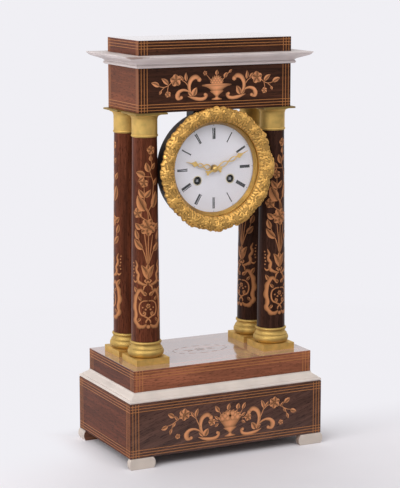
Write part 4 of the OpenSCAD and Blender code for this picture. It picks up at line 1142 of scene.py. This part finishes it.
def step_wreath():
    """The oval wreath in the middle of the step's top."""
    drawn = Inlay()
    leaves = 14
    for i in range(leaves):
        a = 2 * math.pi * i / leaves
        b = a + 0.3
        drawn.leaf((34 * math.cos(a), 17 * math.sin(a)), (35 * math.cos(b), 17.6 * math.sin(b)), 3.2, 0.1)
    drawn.flower((0.0, 0.0), 7.0, 7)
    for sign in (-1, 1):
        drawn.leaf((sign * 9.0, 0.0), (sign * 20.0, 3.0), 4.0, 0.15)
        drawn.leaf((sign * 9.0, -2.0), (sign * 18.0, -5.0), 3.4, -0.1)
    return drawn


class CLOCK_OT_marquetry(bpy.types.Operator):
    """Lays the vases, scrolls and flowers into the fronts and the step's top"""

    bl_idname = "clock.marquetry"
    bl_label = "Panel marquetry"

    PROUD, STEP_PROUD, DEEP = 0.05, 0.03, 0.3
    # The step's veneer has faded to this share of the fronts' tone.
    FADED = 0.5

    def execute(self, context):
        colour = context.scene.clock_case.inlay_wood
        wood = light_veneer("fruitwood_sand_shaded", colour)
        for name, (node, *design) in PANELS.items():
            front = face_place(*span(node), FRONT)
            lay(name, vase_panel(*design), front, self.PROUD, self.DEEP, wood, "case")
        faded = light_veneer("fruitwood_faded", shade(colour, self.FADED), mirror=True)
        top = face_place(*span("plinth_step"), TOP)
        lay("step_marquetry", step_wreath(), top, self.STEP_PROUD, self.DEEP, faded, "case")
        return {"FINISHED"}


COLUMNS = ("column_front_left", "column_front_right", "column_back_left", "column_back_right")
# Where each column's design faces, in degrees from the front towards the right.
COLUMN_TURNS = (-14.0, 9.0, -118.0, -74.0)
COLUMN_SPRAY = {
    "bands": [
        ([(-0.6, 91.0), (-1.6, 108.0), (-3.6, 125.0)], [0.7, 0.6, 0.6]),
        ([(0.2, 91.0), (0.6, 108.0), (1.0, 125.0)], [0.7, 0.6, 0.6]),
        ([(1.0, 91.0), (3.6, 108.0), (6.0, 124.0)], [0.7, 0.6, 0.6]),
        ([(-1.0, 92.0), (-4.2, 104.0), (-8.6, 114.0), (-12.0, 123.0)], [0.7, 0.4]),
        ([(1.4, 92.0), (5.6, 103.0), (10.0, 112.0), (12.4, 121.0)], [0.7, 0.4]),
        ([(1.0, 141.0), (0.2, 150.0), (-3.6, 158.0), (-3.4, 170.0), (-3.6, 179.0)], [0.6, 0.6, 0.55, 0.5, 0.45]),
        ([(4.6, 141.0), (1.6, 150.0), (-2.0, 156.0)], [0.5, 0.5, 0.4]),
        ([(-1.6, 141.0), (-6.0, 144.0), (-9.4, 147.0)], [0.6, 0.5, 0.45]),
        ([(0.2, 150.0), (4.6, 158.0), (6.2, 168.0), (7.4, 182.0), (4.6, 192.0), (2.0, 198.0)],
         [0.6, 0.55, 0.5, 0.5, 0.45, 0.4]),
        ([(3.0, 196.0), (5.6, 203.0), (4.8, 209.0), (4.8, 216.0)], [0.5, 0.45, 0.4, 0.4]),
        ([(5.4, 190.0), (-1.0, 190.4), (-4.0, 191.0)], [0.45, 0.35]),
    ],
    "leaves": [
        ((-5.4, 108.0), (-16.4, 119.4), 7.6, 0.14), ((6.6, 106.0), (14.6, 115.0), 6.6, -0.12),
        ((-10.6, 119.0), (-14.6, 130.4), 6.0, 0.12), ((11.4, 118.0), (15.0, 128.6), 5.4, -0.12),
        ((-7.4, 131.0), (-14.8, 137.4), 6.8, 0.12), ((8.6, 131.0), (15.4, 137.0), 6.6, -0.12),
        ((-2.6, 151.6), (-11.4, 169.0), 11.4, 0.08), ((5.6, 155.0), (10.8, 173.6), 8.8, -0.12),
        ((-3.4, 166.6), (-10.0, 176.4), 6.2, 0.1), ((-3.2, 167.0), (4.0, 175.6), 5.8, -0.1),
        ((-2.6, 190.4), (-13.4, 195.0), 8.0, -0.12), ((-4.0, 190.0), (-11.0, 184.4), 5.0, 0.12),
        ((2.2, 195.6), (-1.0, 206.6), 6.4, 0.1), ((7.4, 180.4), (13.0, 188.6), 5.4, -0.1),
        ((4.6, 199.0), (10.2, 205.6), 4.8, -0.1), ((4.8, 207.6), (4.4, 214.4), 4.8, 0.05),
    ],
    "flowers": [((-11.8, 149.0), 6.0, 5), ((4.8, 220.2), 5.2, 5), ((-3.8, 183.0), 5.0, 5)],
}
TULIP = {
    "leaves": [
        ((0.0, 73.0), (-7.8, 89.6), 7.2, -0.16), ((0.0, 73.0), (7.8, 89.6), 7.2, 0.16),
        ((0.0, 74.0), (0.0, 91.6), 7.6, 0.0),
    ],
}
CARTOUCHE = {
    "bands": [
        ([(4.4, 55.0), (8.6, 60.4), (12.4, 56.6), (15.0, 50.0), (16.0, 40.0), (14.2, 31.6), (15.8, 26.0),
          (11.8, 20.0), (7.2, 18.4), (2.2, 21.0)],
         [1.0, 2.0, 2.3, 2.6, 2.8, 2.4, 2.6, 2.5, 2.2, 1.0], 8, 1),
        ([(0.6, 48.4), (5.6, 48.0), (9.4, 44.6), (10.4, 38.6), (8.6, 33.0), (4.6, 31.2), (3.2, 34.4), (5.8, 36.0)],
         [0.8, 0.9, 0.9, 1.0, 1.1, 1.2, 1.0, 0.6]),
        ([(4.6, 30.4), (1.0, 28.6), (-2.4, 25.0), (-2.6, 22.4)], [1.0, 1.1, 1.0, 0.6]),
        ([(2.2, 67.0), (7.6, 68.6), (11.6, 72.0), (10.8, 78.6), (13.8, 84.0), (12.4, 89.0), (14.8, 94.6)],
         [0.9, 1.7, 1.9, 1.7, 1.7, 1.4, 0.5], 6, -1),
        ([(11.6, 72.0), (15.8, 69.6), (18.8, 72.0)], [1.0, 1.3, 0.4], 0, -1),
        ([(0.8, 68.4), (3.6, 71.4), (1.6, 73.2)], [0.9, 1.1, 0.5]),
        ([(1.0, 67.4), (4.4, 64.6), (5.2, 60.6)], [0.9, 1.1, 0.5]),
    ],
    "leaves": [
        ((13.2, 57.0), (17.8, 64.0), 4.6, 0.12), ((8.6, 28.0), (12.6, 23.4), 3.2, 0.1),
        ((2.0, 54.0), (6.8, 58.4), 4.4, 0.2), ((7.4, 49.0), (11.6, 53.6), 3.4, -0.1),
    ],
    "rounds": [
        ((5.4, 34.0), 1.0), ((2.8, 38.4), 1.2), ((6.2, 40.6), 1.0), ((18.0, 76.4), 1.0), ((17.2, 80.2), 1.0),
        ((18.0, 84.0), 1.0), ((17.6, 87.8), 0.9), ((18.4, 91.4), 0.9),
    ],
}


class CLOCK_OT_column_marquetry(bpy.types.Operator):
    """Lays the flower sprays and cartouches into the columns"""

    bl_idname = "clock.column_marquetry"
    bl_label = "Column marquetry"

    PROUD, DEEP = 0.1, 0.35
    # The shaft's radius at its foot and at its neck.
    FOOT_RADIUS, NECK_RADIUS = 16.7, 14.2

    def design(self):
        """One column's design, unrolled: across from its axis and up from the shaft's foot."""
        drawn = Inlay()
        drawn.spray(COLUMN_SPRAY)
        drawn.spray(TULIP)
        drawn.rose((0.8, 133.0), 10.2)
        drawn.flower((0.0, 42.4), 2.8, 5)
        drawn.disc((0.0, 18.4), 2.3)
        drawn.disc((0.0, 70.4), 1.5)
        for mirror in (-1, 1):
            drawn.spray(CARTOUCHE, 0.0, mirror)
        return drawn

    def execute(self, context):
        wood = light_veneer("fruitwood_darker_shaded", context.scene.clock_case.column_inlay_wood)
        drawn = self.design()
        for node, turn in zip(COLUMNS, COLUMN_TURNS):
            low, high = span(node)
            middle = (low + high) / 2
            tall = high[2] - low[2]

            def place(x, y, height):
                radius = self.FOOT_RADIUS + (self.NECK_RADIUS - self.FOOT_RADIUS) * y / tall
                angle = math.radians(turn) + x / radius
                out = radius + height
                return (middle[0] + out * math.sin(angle), middle[1] - out * math.cos(angle), low[2] + y)

            lay(f"{node}_marquetry", drawn, place, self.PROUD, self.DEEP, wood, "case")
        return {"FINISHED"}


# ---------------------------------------------------------------- dial and hands


def dial_place(turn, out, foot=0.0):
    """Where a point of the dial's plane lies: x across and y up from a foot, turned clockwise by an angle in degrees,
    at a distance out."""
    c, s = math.cos(math.radians(turn)), math.sin(math.radians(turn))

    def place(x, y, height):
        y += foot
        return (x * c + y * s, -(out + height), DIAL_MIDDLE + y * c - x * s)

    return place


NUMERALS = ("XII", "I", "II", "III", "IIII", "V", "VI", "VII", "VIII", "IX", "X", "XI")


def draw_numeral(word, settings):
    """A Roman numeral standing on y 0, centred on x 0: heavy and hairline strokes with flat serifs."""
    heavy, thin, tall = (v / MM for v in (settings.stroke, settings.hairline, settings.numeral_height))
    # Longer numerals have lighter strokes.
    heavy *= 1.4 - 0.12 * len(word)
    # The gap between letters, and how far the serifs stand out.
    gap, over = 0.03, 0.3
    widths = {"I": heavy, "V": 1.8, "X": 2.0}
    total = sum(widths[c] for c in word) + gap * (len(word) - 1)
    drawn = Inlay()

    def stroke(x0, x1, wide, low, high):
        rows = [[(x - wide / 2, y), (x + wide / 2, y)] for x, y in ((x0, low), (x1, high))]
        drawn.patch(rows, [[0.5, 0.5]] * 2)

    x = -total / 2
    for letter in word:
        wide = widths[letter]
        if letter == "I":
            stroke(x + wide / 2, x + wide / 2, heavy, thin, tall - thin)
        elif letter == "V":
            stroke(x + wide / 2, x + heavy / 2, heavy * 0.8, thin, tall - thin)
            stroke(x + wide / 2 + 0.2, x + wide - thin, thin, thin, tall - thin)
        else:
            stroke(x + wide - heavy / 2, x + heavy / 2, heavy, thin, tall - thin)
            stroke(x + thin, x + wide - thin, thin, thin, tall - thin)
        x += wide + gap
    for low in (0.0, tall - thin):
        stroke(0.0, 0.0, total + 2 * over, low, low + thin)
    return drawn


class CLOCK_OT_dial(bpy.types.Operator):
    """Finishes the drum and dial, with numerals, dots and grommets"""

    bl_idname = "clock.dial"
    bl_label = "Drum and dial"

    # How far the paint stands off the enamel and reaches into it; a dot's thickness and its middle's depth.
    PAINT, PAINT_DEEP = 0.03, 0.1
    DOT_THICK, DOT_MIDDLE = 0.2, 0.06

    def execute(self, context):
        settings = context.scene.clock_dial
        gilding = context.scene.clock_gilt
        paint_nodes(fired_enamel("white_enamel_fired", settings.enamel), "dial")
        paint_nodes(blackened("sheet_iron_blacked", linear("#1d1c20"), 0.3, 0.5, 5.0), "dial_collar")
        paint_nodes(blackened("pearwood_blacked", linear("#1a1614"), 0.4, 0.6, 3.0), "hanger_block")
        black = dial_paint("black_paint_fired", settings.paint)
        for hour, word in enumerate(NUMERALS):
            drawn = draw_numeral(word, settings)
            place = dial_place(30 * hour, DIAL_FACE, settings.numeral_foot / MM)
            lay(f"numeral_{hour or 12}", drawn, place, self.PAINT, self.PAINT_DEEP, black, "case")
        dots = {
            "Count": 12, "Ring radius": settings.dot_ring, "Dot radius": settings.dot_radius,
            "Thickness": self.DOT_THICK * MM,
            "Middle": (0.0, -(DIAL_FACE - self.DOT_MIDDLE) * MM, DIAL_MIDDLE * MM), "Material": black,
        }
        grow("hour_dots", bpy.data.meshes.new("hour_dot_seed"), hour_dot_tree(), dots, "case")
        metals = clock_metals(gilding)
        paint_nodes(metals["brass"], "drum_case", "hinge_bracket")
        paint_nodes(turned_metal("brass_pale_rim", linear("#e2d6b8"), 0.4, 0.5), "winding_grommets")
        paint_nodes(metals["blued"], "hanger_screws")
        return {"FINISHED"}


# The hands' places, in degrees clockwise from twelve.
HOUR_TURN, MINUTE_TURN = 284.6, 66.2


def pierced_hand(length, eye, loops_end, loop_wide, tail):
    """A gilt hand, upright: pierced eye, two twisted wires, a leaf point and a stout tail."""
    drawn = Inlay()
    drawn.hoop((0.0, 0.0), (eye * 0.5, eye * 0.75, eye), (0.6, 1.0, 0.6), count=28)
    foot = eye * 0.9
    for sign in (-1, 1):
        wave = [
            (sign * loop_wide * (1.1 - 0.4 * t) * math.sin(2 * math.pi * t**1.2), foot + (loops_end - foot) * t)
            for t in np.linspace(0, 1, 33)
        ]
        drawn.band(wave, [0.72, 0.62, 0.55], steps=1)
    point = loops_end + (length - loops_end) * 0.55
    drawn.leaf((0.0, loops_end - 0.8), (0.0, point), loop_wide * 1.6)
    for sign in (-1, 1):
        drawn.leaf((0.0, loops_end + 1.0), (sign * loop_wide * 1.1, loops_end + 4.2), 1.6, -sign * 0.2)
    drawn.band([(0.0, point - 1.4), (0.0, (point + length) / 2), (0.0, length)], [0.62, 0.45, 0.16])
    drawn.band([(0.0, -eye * 0.5), (0.0, -(eye + tail) / 2), (0.0, -tail + 1.0)], [1.2, 1.7, 2.1])
    for sign in (-1, 1):
        drawn.disc((sign * 1.6, -tail + 1.2), 1.4, level=0.05)
    return drawn


class CLOCK_OT_hands(bpy.types.Operator):
    """Cuts the pierced hour and minute hands and finishes their nut"""

    bl_idname = "clock.hands"
    bl_label = "Hands"

    # What the drawn levels may add to a hand's thickness.
    LEVELS = 0.1

    def execute(self, context):
        gilt = gilt_brass("gilt_brass_burnished", context.scene.clock_gilt.gilt, 0.26, 0.38)
        hour = pierced_hand(length=36.9, eye=4.4, loops_end=22.5, loop_wide=2.9, tail=9.4)
        minute = pierced_hand(length=46.2, eye=3.8, loops_end=30.5, loop_wide=2.6, tail=12.4)
        shapes = {"hour_hand": (hour, HOUR_TURN, "hour"), "minute_hand": (minute, MINUTE_TURN, "minute")}
        for node, (drawn, turn, body) in shapes.items():
            low, high = span(node)
            half = (high[1] - low[1]) / 2
            place = dial_place(turn, -(low[1] + high[1]) / 2)
            hand = lay(f"pierced_{node}", drawn, place, half - self.LEVELS, half, gilt, body)
            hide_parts(node)
        paint_nodes(gilt, "hand_nut")
        return {"FINISHED"}


# ---------------------------------------------------------------- bezel


class Chasing:
    """Low relief on an unrolled ring, in millimetres: x runs round and y across, and every motif raises the ground
    where it stands higher."""

    def __init__(self, length, width, step):
        self.length, self.step = length, step
        self.rows = round(length / step)
        self.y = np.linspace(0.0, width, round(width / step))
        self.high = np.zeros((self.rows, len(self.y)))

    def press(self, x, y, reach, shape):
        """Presses in a motif whose shape gives heights from offsets round and across."""
        half = int(reach / self.step) + 2
        near = round(x / self.step) + np.arange(-half, half + 1)
        heights = shape((near * self.step - x)[:, None], (self.y - y)[None, :])
        rows = near % self.rows
        self.high[rows] = np.maximum(self.high[rows], heights)

    def leaf(self, x, y, heading, length, width, high):
        """A veined leaf with pointed lobes, from its stalk; heading is from outwards, clockwise."""
        c, s = math.cos(heading), math.sin(heading)

        def shape(right, up):
            along = (right * s + up * c) / length
            off = np.abs(right * c - up * s)
            t = np.clip(along, 0.0, 1.0)
            half = width / 2 * np.sin(math.pi * t**0.7) ** 0.8 * (0.6 + 0.4 * np.abs(np.cos(3.5 * math.pi * t))) + 1e-6
            k = np.clip(1 - off / half, 0.0, 1.0)
            body = (0.4 + 0.6 * np.sqrt(k)) * (0.75 + 0.35 * t) - 0.35 * np.exp(-((off / 0.25) ** 2))
            return np.where((along > 0) & (along < 1) & (k > 0), high * body, 0.0)

        self.press(x, y, length, shape)

    def rosette(self, x, y, radius, high, petals=0, turn=0.0):
        """A flower with a raised eye; without petals, a berry."""

        def shape(right, up):
            petal = np.abs(np.cos(petals / 2 * (np.arctan2(right, up) + turn)))
            k = np.hypot(right, up) / (radius * (0.7 + 0.3 * np.sqrt(petal)))
            eye = 0.45 * np.sqrt(np.clip(1 - (k / 0.3) ** 2, 0.0, 1.0))
            body = 0.4 + 0.6 * np.sin(math.pi * np.clip(k, 0.0, 1.0)) * np.sqrt(petal) + eye
            return np.where(k < 1, high * body, 0.0)

        self.press(x, y, radius, shape)

    def hollow(self):
        """How deep each point lies below what stands round it, from 0 to 1."""
        soft = self.high
        for axis in (0, 1):
            soft = sum(np.roll(soft, k, axis) for k in range(-3, 4)) / 7
        return np.clip(1.1 * (soft - self.high) + 0.6 * (1 - self.high / 0.5), 0.0, 1.0)


class CLOCK_OT_bezel(bpy.types.Operator):
    """Casts and chases the bezel's band of leaves and flowers, and finishes its glass and hinge"""

    bl_idname = "clock.bezel"
    bl_label = "Bezel"

    # The leafy band's inner and outer radius, how far out its lip and its outer edge lie, and its crest above them.
    INNER, EDGE = 55.1, 70.6
    LIP, FOOT, RISE = 42.05, 43.5, 8.0
    # How far out the outer edge lies over the hinge, and where the band's back closes: its radius and distance out.
    HINGE_FOOT = 47.6
    BACK_RADIUS, BACK_OUT = 65.0, 48.4
    # The relief's middle radius, its width unrolled and the step of its grid.
    MIDDLE, UNROLLED, GRID = 63.5, 23.0, 0.38
    GROUPS = 12
    # The glass's outer dome radius, its thickness and the sides of its rings.
    DOME, GLASS, SIDES = 260.0, 1.4, 128

    def foliage(self, gilding):
        """The band's relief: flowers in leaves, fringes of leaves at both edges and berries between."""
        draw = random.Random(gilding.seed)
        leaf, flower, berry = (v / MM for v in (gilding.leaf_length, gilding.rosette_radius, gilding.berry_radius))
        ring = Chasing(2 * math.pi * self.MIDDLE, self.UNROLLED, self.GRID)
        pitch = ring.length / self.GROUPS

        def vary(low, high):
            return draw.uniform(low, high)

        for i in range(self.GROUPS):
            for share, size, petals, y in ((0.0, 1.0, 6, 13.4), (0.5, 0.75, 5, 10.8)):
                x, y = (i + share) * pitch + vary(-0.8, 0.8), y + vary(-0.8, 0.8)
                ring.rosette(x, y, flower * size, 1.5, petals, vary(0, 3))
                for k in range(8):
                    a = math.pi / 4 * k + vary(-0.2, 0.2)
                    off = 0.75 * flower * size
                    stalk = (x + off * math.sin(a), y + off * math.cos(a))
                    ring.leaf(*stalk, a + vary(-0.5, 0.5), leaf * vary(0.9, 1.2) * size, leaf * 0.55, 1.2)
            for k in range(8):
                x = (i + k / 8) * pitch + vary(-0.7, 0.7)
                ring.leaf(x, 17.2 + vary(-0.5, 0.5), vary(-0.5, 0.5), leaf * vary(0.95, 1.15), leaf * 0.7, 1.3)
                y, heading = 6.4 + vary(-0.5, 0.5), math.pi + vary(-0.5, 0.5)
                ring.leaf(x + 2.0, y, heading, leaf * vary(0.95, 1.15), leaf * 0.65, 1.1)
            for _ in range(12):
                ring.leaf((i + vary(0, 1)) * pitch, vary(5, 18), vary(0, 6.3), leaf * vary(0.5, 0.8), leaf * 0.4, 0.9)
            for _ in range(8):
                ring.rosette((i + vary(0, 1)) * pitch, vary(5, 19), berry * vary(0.8, 1.2), 1.1)
        return ring

    def glass(self):
        """The domed glass, lathed in the form of its solid with an even crown."""
        low, high = span("bezel_glass")
        rim, seat, crown = (high[0] - low[0]) / 2, -high[1], -low[1]
        r = np.linspace(0.0, rim, 24)
        outer = crown - self.DOME + np.sqrt(self.DOME**2 - r**2)
        inner = np.maximum(seat, crown - self.DOME + np.sqrt((self.DOME - self.GLASS) ** 2 - r**2))
        turns = 2 * math.pi * np.arange(self.SIDES) / self.SIDES
        made = bmesh.new()
        rings = []
        for x, w in (*zip(r[1:], outer[1:]), *zip(r[:0:-1], inner[:0:-1])):
            places = [(x * math.cos(turn), -w, DIAL_MIDDLE - x * math.sin(turn)) for turn in turns]
            rings.append([made.verts.new(place) for place in places])
        front, back = (made.verts.new((0.0, -w, DIAL_MIDDLE)) for w in (outer[0], inner[0]))
        for i in range(-1, self.SIDES - 1):
            made.faces.new((front, rings[0][i + 1], rings[0][i]))
            for near, far in zip(rings, rings[1:]):
                made.faces.new((near[i], near[i + 1], far[i + 1], far[i]))
            made.faces.new((rings[-1][i], rings[-1][i + 1], back))
        mesh = mesh_from(made, "domed_glass", [clear_glass("clear_glass_blown")])
        mesh.shade_smooth()
        mesh.set_sharp_from_angle(angle=0.6)
        show(bpy.data.objects.new("domed_glass", mesh), "bezel_door", ["bezel_glass"])

    def execute(self, context):
        gilding = context.scene.clock_gilt
        self.glass()
        ring = self.foliage(gilding)
        turn = 2 * math.pi * np.arange(ring.rows)[:, None] / ring.rows
        v = np.linspace(0, 1, len(ring.y))[None, :]
        # Over the hinge the band's edge stays in front of the knuckles.
        hinge = np.exp(-(((turn - math.pi / 2) / 0.17) ** 6))
        lobes = 0.9 * np.cos(12 * turn) + 0.5 * np.cos(36 * turn + 1) + 0.35 * np.cos(61 * turn)
        edge = self.EDGE + lobes * (1 - hinge)
        foot = self.FOOT + (self.HINGE_FOOT - self.FOOT) * hinge
        across = (1 - np.cos(math.pi * v)) / 2
        radius = self.INNER + (edge - self.INNER) * across
        out = self.LIP + (foot - self.LIP) * across + self.RISE * np.sin(math.pi * v) ** 0.85
        slope = np.arctan2(np.gradient(out, axis=1), np.gradient(radius, axis=1))
        lift = ring.high * np.clip(v / 0.08, 0, 1) * np.clip((1 - v) / 0.05, 0.2, 1)
        # The last column closes the band behind.
        radius = np.hstack((radius - lift * np.sin(slope), np.full((ring.rows, 1), self.BACK_RADIUS)))
        out = np.hstack((out + lift * np.cos(slope), np.full((ring.rows, 1), self.BACK_OUT)))
        points = np.stack((radius * np.sin(turn), -out, DIAL_MIDDLE + radius * np.cos(turn)), axis=-1) * MM
        rows, columns = radius.shape
        i, j = np.arange(rows)[:, None], np.arange(columns)[None, :]
        after, beside = (i + 1) % rows, (j + 1) % columns
        corners = [i * columns + j, after * columns + j, after * columns + beside, i * columns + beside]
        mesh = bpy.data.meshes.new("bezel_foliage")
        mesh.from_pydata(points.reshape(-1, 3).tolist(), [], np.stack(corners, axis=-1).reshape(-1, 4).tolist())
        # The hollow value darkens the gilding in the relief's recesses, as painted shade and old wax.
        mark(mesh, "hollow", np.hstack((ring.hollow(), np.ones((rows, 1)))).ravel())
        mesh.shade_smooth()
        mesh.materials.append(gilt_brass("gilt_bronze_chased", gilding.bezel_gilt, 0.52, 0.85, 0.28, hollow=True))
        show(bpy.data.objects.new("bezel_foliage", mesh), "bezel_door")
        paint_nodes(gilt_brass("gilt_bronze_plain", gilding.bezel_gilt, 0.28, 0.42), "bezel")
        paint_nodes(turned_metal("gilt_brass_spun", shade(gilding.bezel_gilt, 0.62), 0.48, 0.6), "glass_ring")
        paint_nodes(clock_metals(gilding)["steel"], "hinge_pin")
        return {"FINISHED"}


class CLOCK_OT_movement(bpy.types.Operator):
    """Finishes the plates, wheels, arbors, bell and hammer"""

    bl_idname = "clock.movement"
    bl_label = "Movement"

    BRASS = (
        "back_plate", "plate_pillars", "suspension_cock", "centre_wheel", "hour_wheel", "minute_wheel",
        "going_barrel", "going_second_wheel", "third_wheel", "escape_wheel", "crutch", "strike_barrel",
        "strike_second_wheel", "count_wheel", "pin_wheel", "stop_wheel", "fly",
    )
    STEEL = ("cannon_pinion", "going_arbor", "strike_arbor", "anchor", "hammer", "bell_stand")
    BLUED = ("pillar_nuts", "movement_screws")
    # Radius of the painted shade round each arbor behind a winding hole.
    SHADED_SPOT_RADIUS = 8.5

    def execute(self, context):
        gilding = context.scene.clock_gilt
        metals = clock_metals(gilding)
        paint_nodes(metals["brass"], *self.BRASS)
        # Painted shade: the front plate is painted almost black round the arbors behind the winding holes.
        shaded_spots = []
        for arbor in ("going_arbor", "strike_arbor"):
            middle = sum(span(arbor)) / 2
            shaded_spots.append((middle[0], middle[2] - DIAL_MIDDLE, self.SHADED_SPOT_RADIUS))
        paint_nodes(turned_metal("brass_brushed_oily", gilding.brass, 0.3, 0.46, shaded_spots=shaded_spots), "front_plate")
        paint_nodes(metals["steel"], *self.STEEL)
        paint_nodes(metals["blued"], *self.BLUED)
        paint_nodes(turned_metal("bell_metal_turned", linear("#c7b083"), 0.16, 0.3, 0.8), "bell")
        return {"FINISHED"}


# ---------------------------------------------------------------- stage


class CLOCK_OT_stage(bpy.types.Operator):
    """Sets up the pale floor, the soft lamps and the camera"""

    bl_idname = "clock.stage"
    bl_label = "Stage"

    # The camera's place, direction and lens, fitted to the photograph's edges.
    EYE = (-0.90196, -1.79753, 0.59579)
    AZIMUTH, ELEVATION = math.radians(-26.657), math.radians(10.086)
    FOCAL_PIXELS, IMAGE_HEIGHT = 1742.2, 488
    FLOOR_RADIUS = 20.0
    # Where each lamp stands, and its size; both aim at the clock's middle.
    KEY, FILL = ((-1.9, -0.9, 1.6), 2.0), ((0.3, -2.0, 2.4), 1.3)
    AIM = (0.0, 0.0, 0.24)

    def room(self, scene, settings):
        """Room light that comes most from the pale backdrop; gloss too sees a paler back of the room than its front."""
        world = bpy.data.worlds.new("pale_studio")
        scene.world = world
        world.use_nodes = True
        tree = world.node_tree
        tree.nodes.clear()
        backdrop = tuple(settings.background)
        ray = add(tree, "ShaderNodeLightPath")
        axes = split(tree, (add(tree, "ShaderNodeTexCoord"), "Generated"))
        depth = spread(tree, (axes, "Y"), 0.0, 1.0, -1.0, 1.0)
        stops = [(0.0, shade(WHITE, 0.55)), (0.35, shade(WHITE, 0.6)), (0.6, shade(WHITE, 0.9)), (1.0, backdrop)]
        band = add(tree, "ShaderNodeValToRGB", {"Fac": depth}, stops)
        wide = ramp(tree, depth, WHITE, (0.0, 0.36), (0.5, 0.64), (1.0, 1.0))
        pale, mirror, light = (
            add(tree, "ShaderNodeBackground", {"Color": colour, "Strength": strength})
            for colour, strength in ((backdrop, 1.0), (band, 1.0), (wide, settings.ambient))
        )
        plain = maths(tree, "MAXIMUM", (ray, "Is Camera Ray"), (ray, "Is Transmission Ray"))
        some = add(tree, "ShaderNodeMixShader", {0: plain, 1: light, 2: pale})
        glossy = add(tree, "ShaderNodeMixShader", {0: (ray, "Is Glossy Ray"), 1: some, 2: mirror})
        add(tree, "ShaderNodeOutputWorld", {"Surface": glossy})

    def lamp(self, name, place, size, power):
        """A soft square lamp aimed at the clock."""
        data = bpy.data.lights.new(name, "AREA")
        data.energy = power
        data.shape = "SQUARE"
        data.size = size
        obj = bpy.data.objects.new(name, data)
        obj.location = place
        obj.rotation_euler = (Vector(self.AIM) - Vector(place)).to_track_quat("-Z", "Y").to_euler()
        bpy.context.scene.collection.objects.link(obj)

    def execute(self, context):
        scene = context.scene
        settings = scene.clock_stage
        made = bmesh.new()
        bmesh.ops.create_circle(made, cap_ends=True, segments=96, radius=self.FLOOR_RADIUS)
        mesh = bpy.data.meshes.new("studio_floor")
        made.to_mesh(mesh)
        made.free()
        paper = studio_paper("studio_paper_matt", settings.floor, tuple(settings.background))
        mesh.materials.append(paper)
        floor = bpy.data.objects.new("studio_floor", mesh)
        scene.collection.objects.link(floor)
        floor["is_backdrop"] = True
        self.room(scene, settings)
        self.lamp("key_lamp", *self.KEY, settings.key_power)
        self.lamp("fill_lamp", *self.FILL, settings.fill_power)
        lens = bpy.data.cameras.new("camera")
        lens.sensor_width = 36.0
        lens.lens = self.FOCAL_PIXELS * lens.sensor_width / self.IMAGE_HEIGHT
        lens.clip_start, lens.clip_end = 0.05, 60.0
        camera = bpy.data.objects.new("camera", lens)
        camera.location = self.EYE
        a, e = self.AZIMUTH, self.ELEVATION
        back = Vector((math.sin(a) * math.cos(e), -math.cos(a) * math.cos(e), math.sin(e)))
        camera.rotation_euler = (-back).to_track_quat("-Z", "Y").to_euler()
        scene.collection.objects.link(camera)
        scene.camera = camera
        scene.view_settings.view_transform = "Standard"
        return {"FINISHED"}


# ---------------------------------------------------------------- add-on


OPERATORS = (
    CLOCK_OT_stage, CLOCK_OT_case, CLOCK_OT_mouldings, CLOCK_OT_columns, CLOCK_OT_stringing, CLOCK_OT_marquetry,
    CLOCK_OT_column_marquetry, CLOCK_OT_dial, CLOCK_OT_hands, CLOCK_OT_bezel, CLOCK_OT_movement,
)
SETTINGS = {
    "clock_case": ClockCaseSettings, "clock_dial": ClockDialSettings, "clock_gilt": ClockGiltSettings,
    "clock_stage": ClockStageSettings,
}


class CLOCK_PT_panel(bpy.types.Panel):
    """Lists the clock's settings and its building steps"""

    bl_idname = "CLOCK_PT_panel"
    bl_label = "Portico Mantel Clock"
    bl_space_type = "VIEW_3D"
    bl_region_type = "UI"
    bl_category = "Clock"

    def draw(self, context):
        for name, group in SETTINGS.items():
            box = self.layout.box()
            for setting in group.__annotations__:
                box.prop(getattr(context.scene, name), setting)
        for operator in OPERATORS:
            self.layout.operator(operator.bl_idname)


def register():
    for group in SETTINGS.values():
        bpy.utils.register_class(group)
    for name, group in SETTINGS.items():
        setattr(bpy.types.Scene, name, bpy.props.PointerProperty(type=group))
    for operator in (*OPERATORS, CLOCK_PT_panel):
        bpy.utils.register_class(operator)


def unregister():
    for operator in reversed((*OPERATORS, CLOCK_PT_panel)):
        bpy.utils.unregister_class(operator)
    for name in SETTINGS:
        delattr(bpy.types.Scene, name)
    for group in reversed(SETTINGS.values()):
        bpy.utils.unregister_class(group)


def main():
    register()
    for operator in OPERATORS:
        family, step = operator.bl_idname.split(".")
        getattr(getattr(bpy.ops, family), step)()
    sizes = {"cad": CAD_BOX, "visual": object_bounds()}
    {name: [list(corner) for corner in box] for name, box in sizes.items()}


if __name__ == "__main__":
    main()
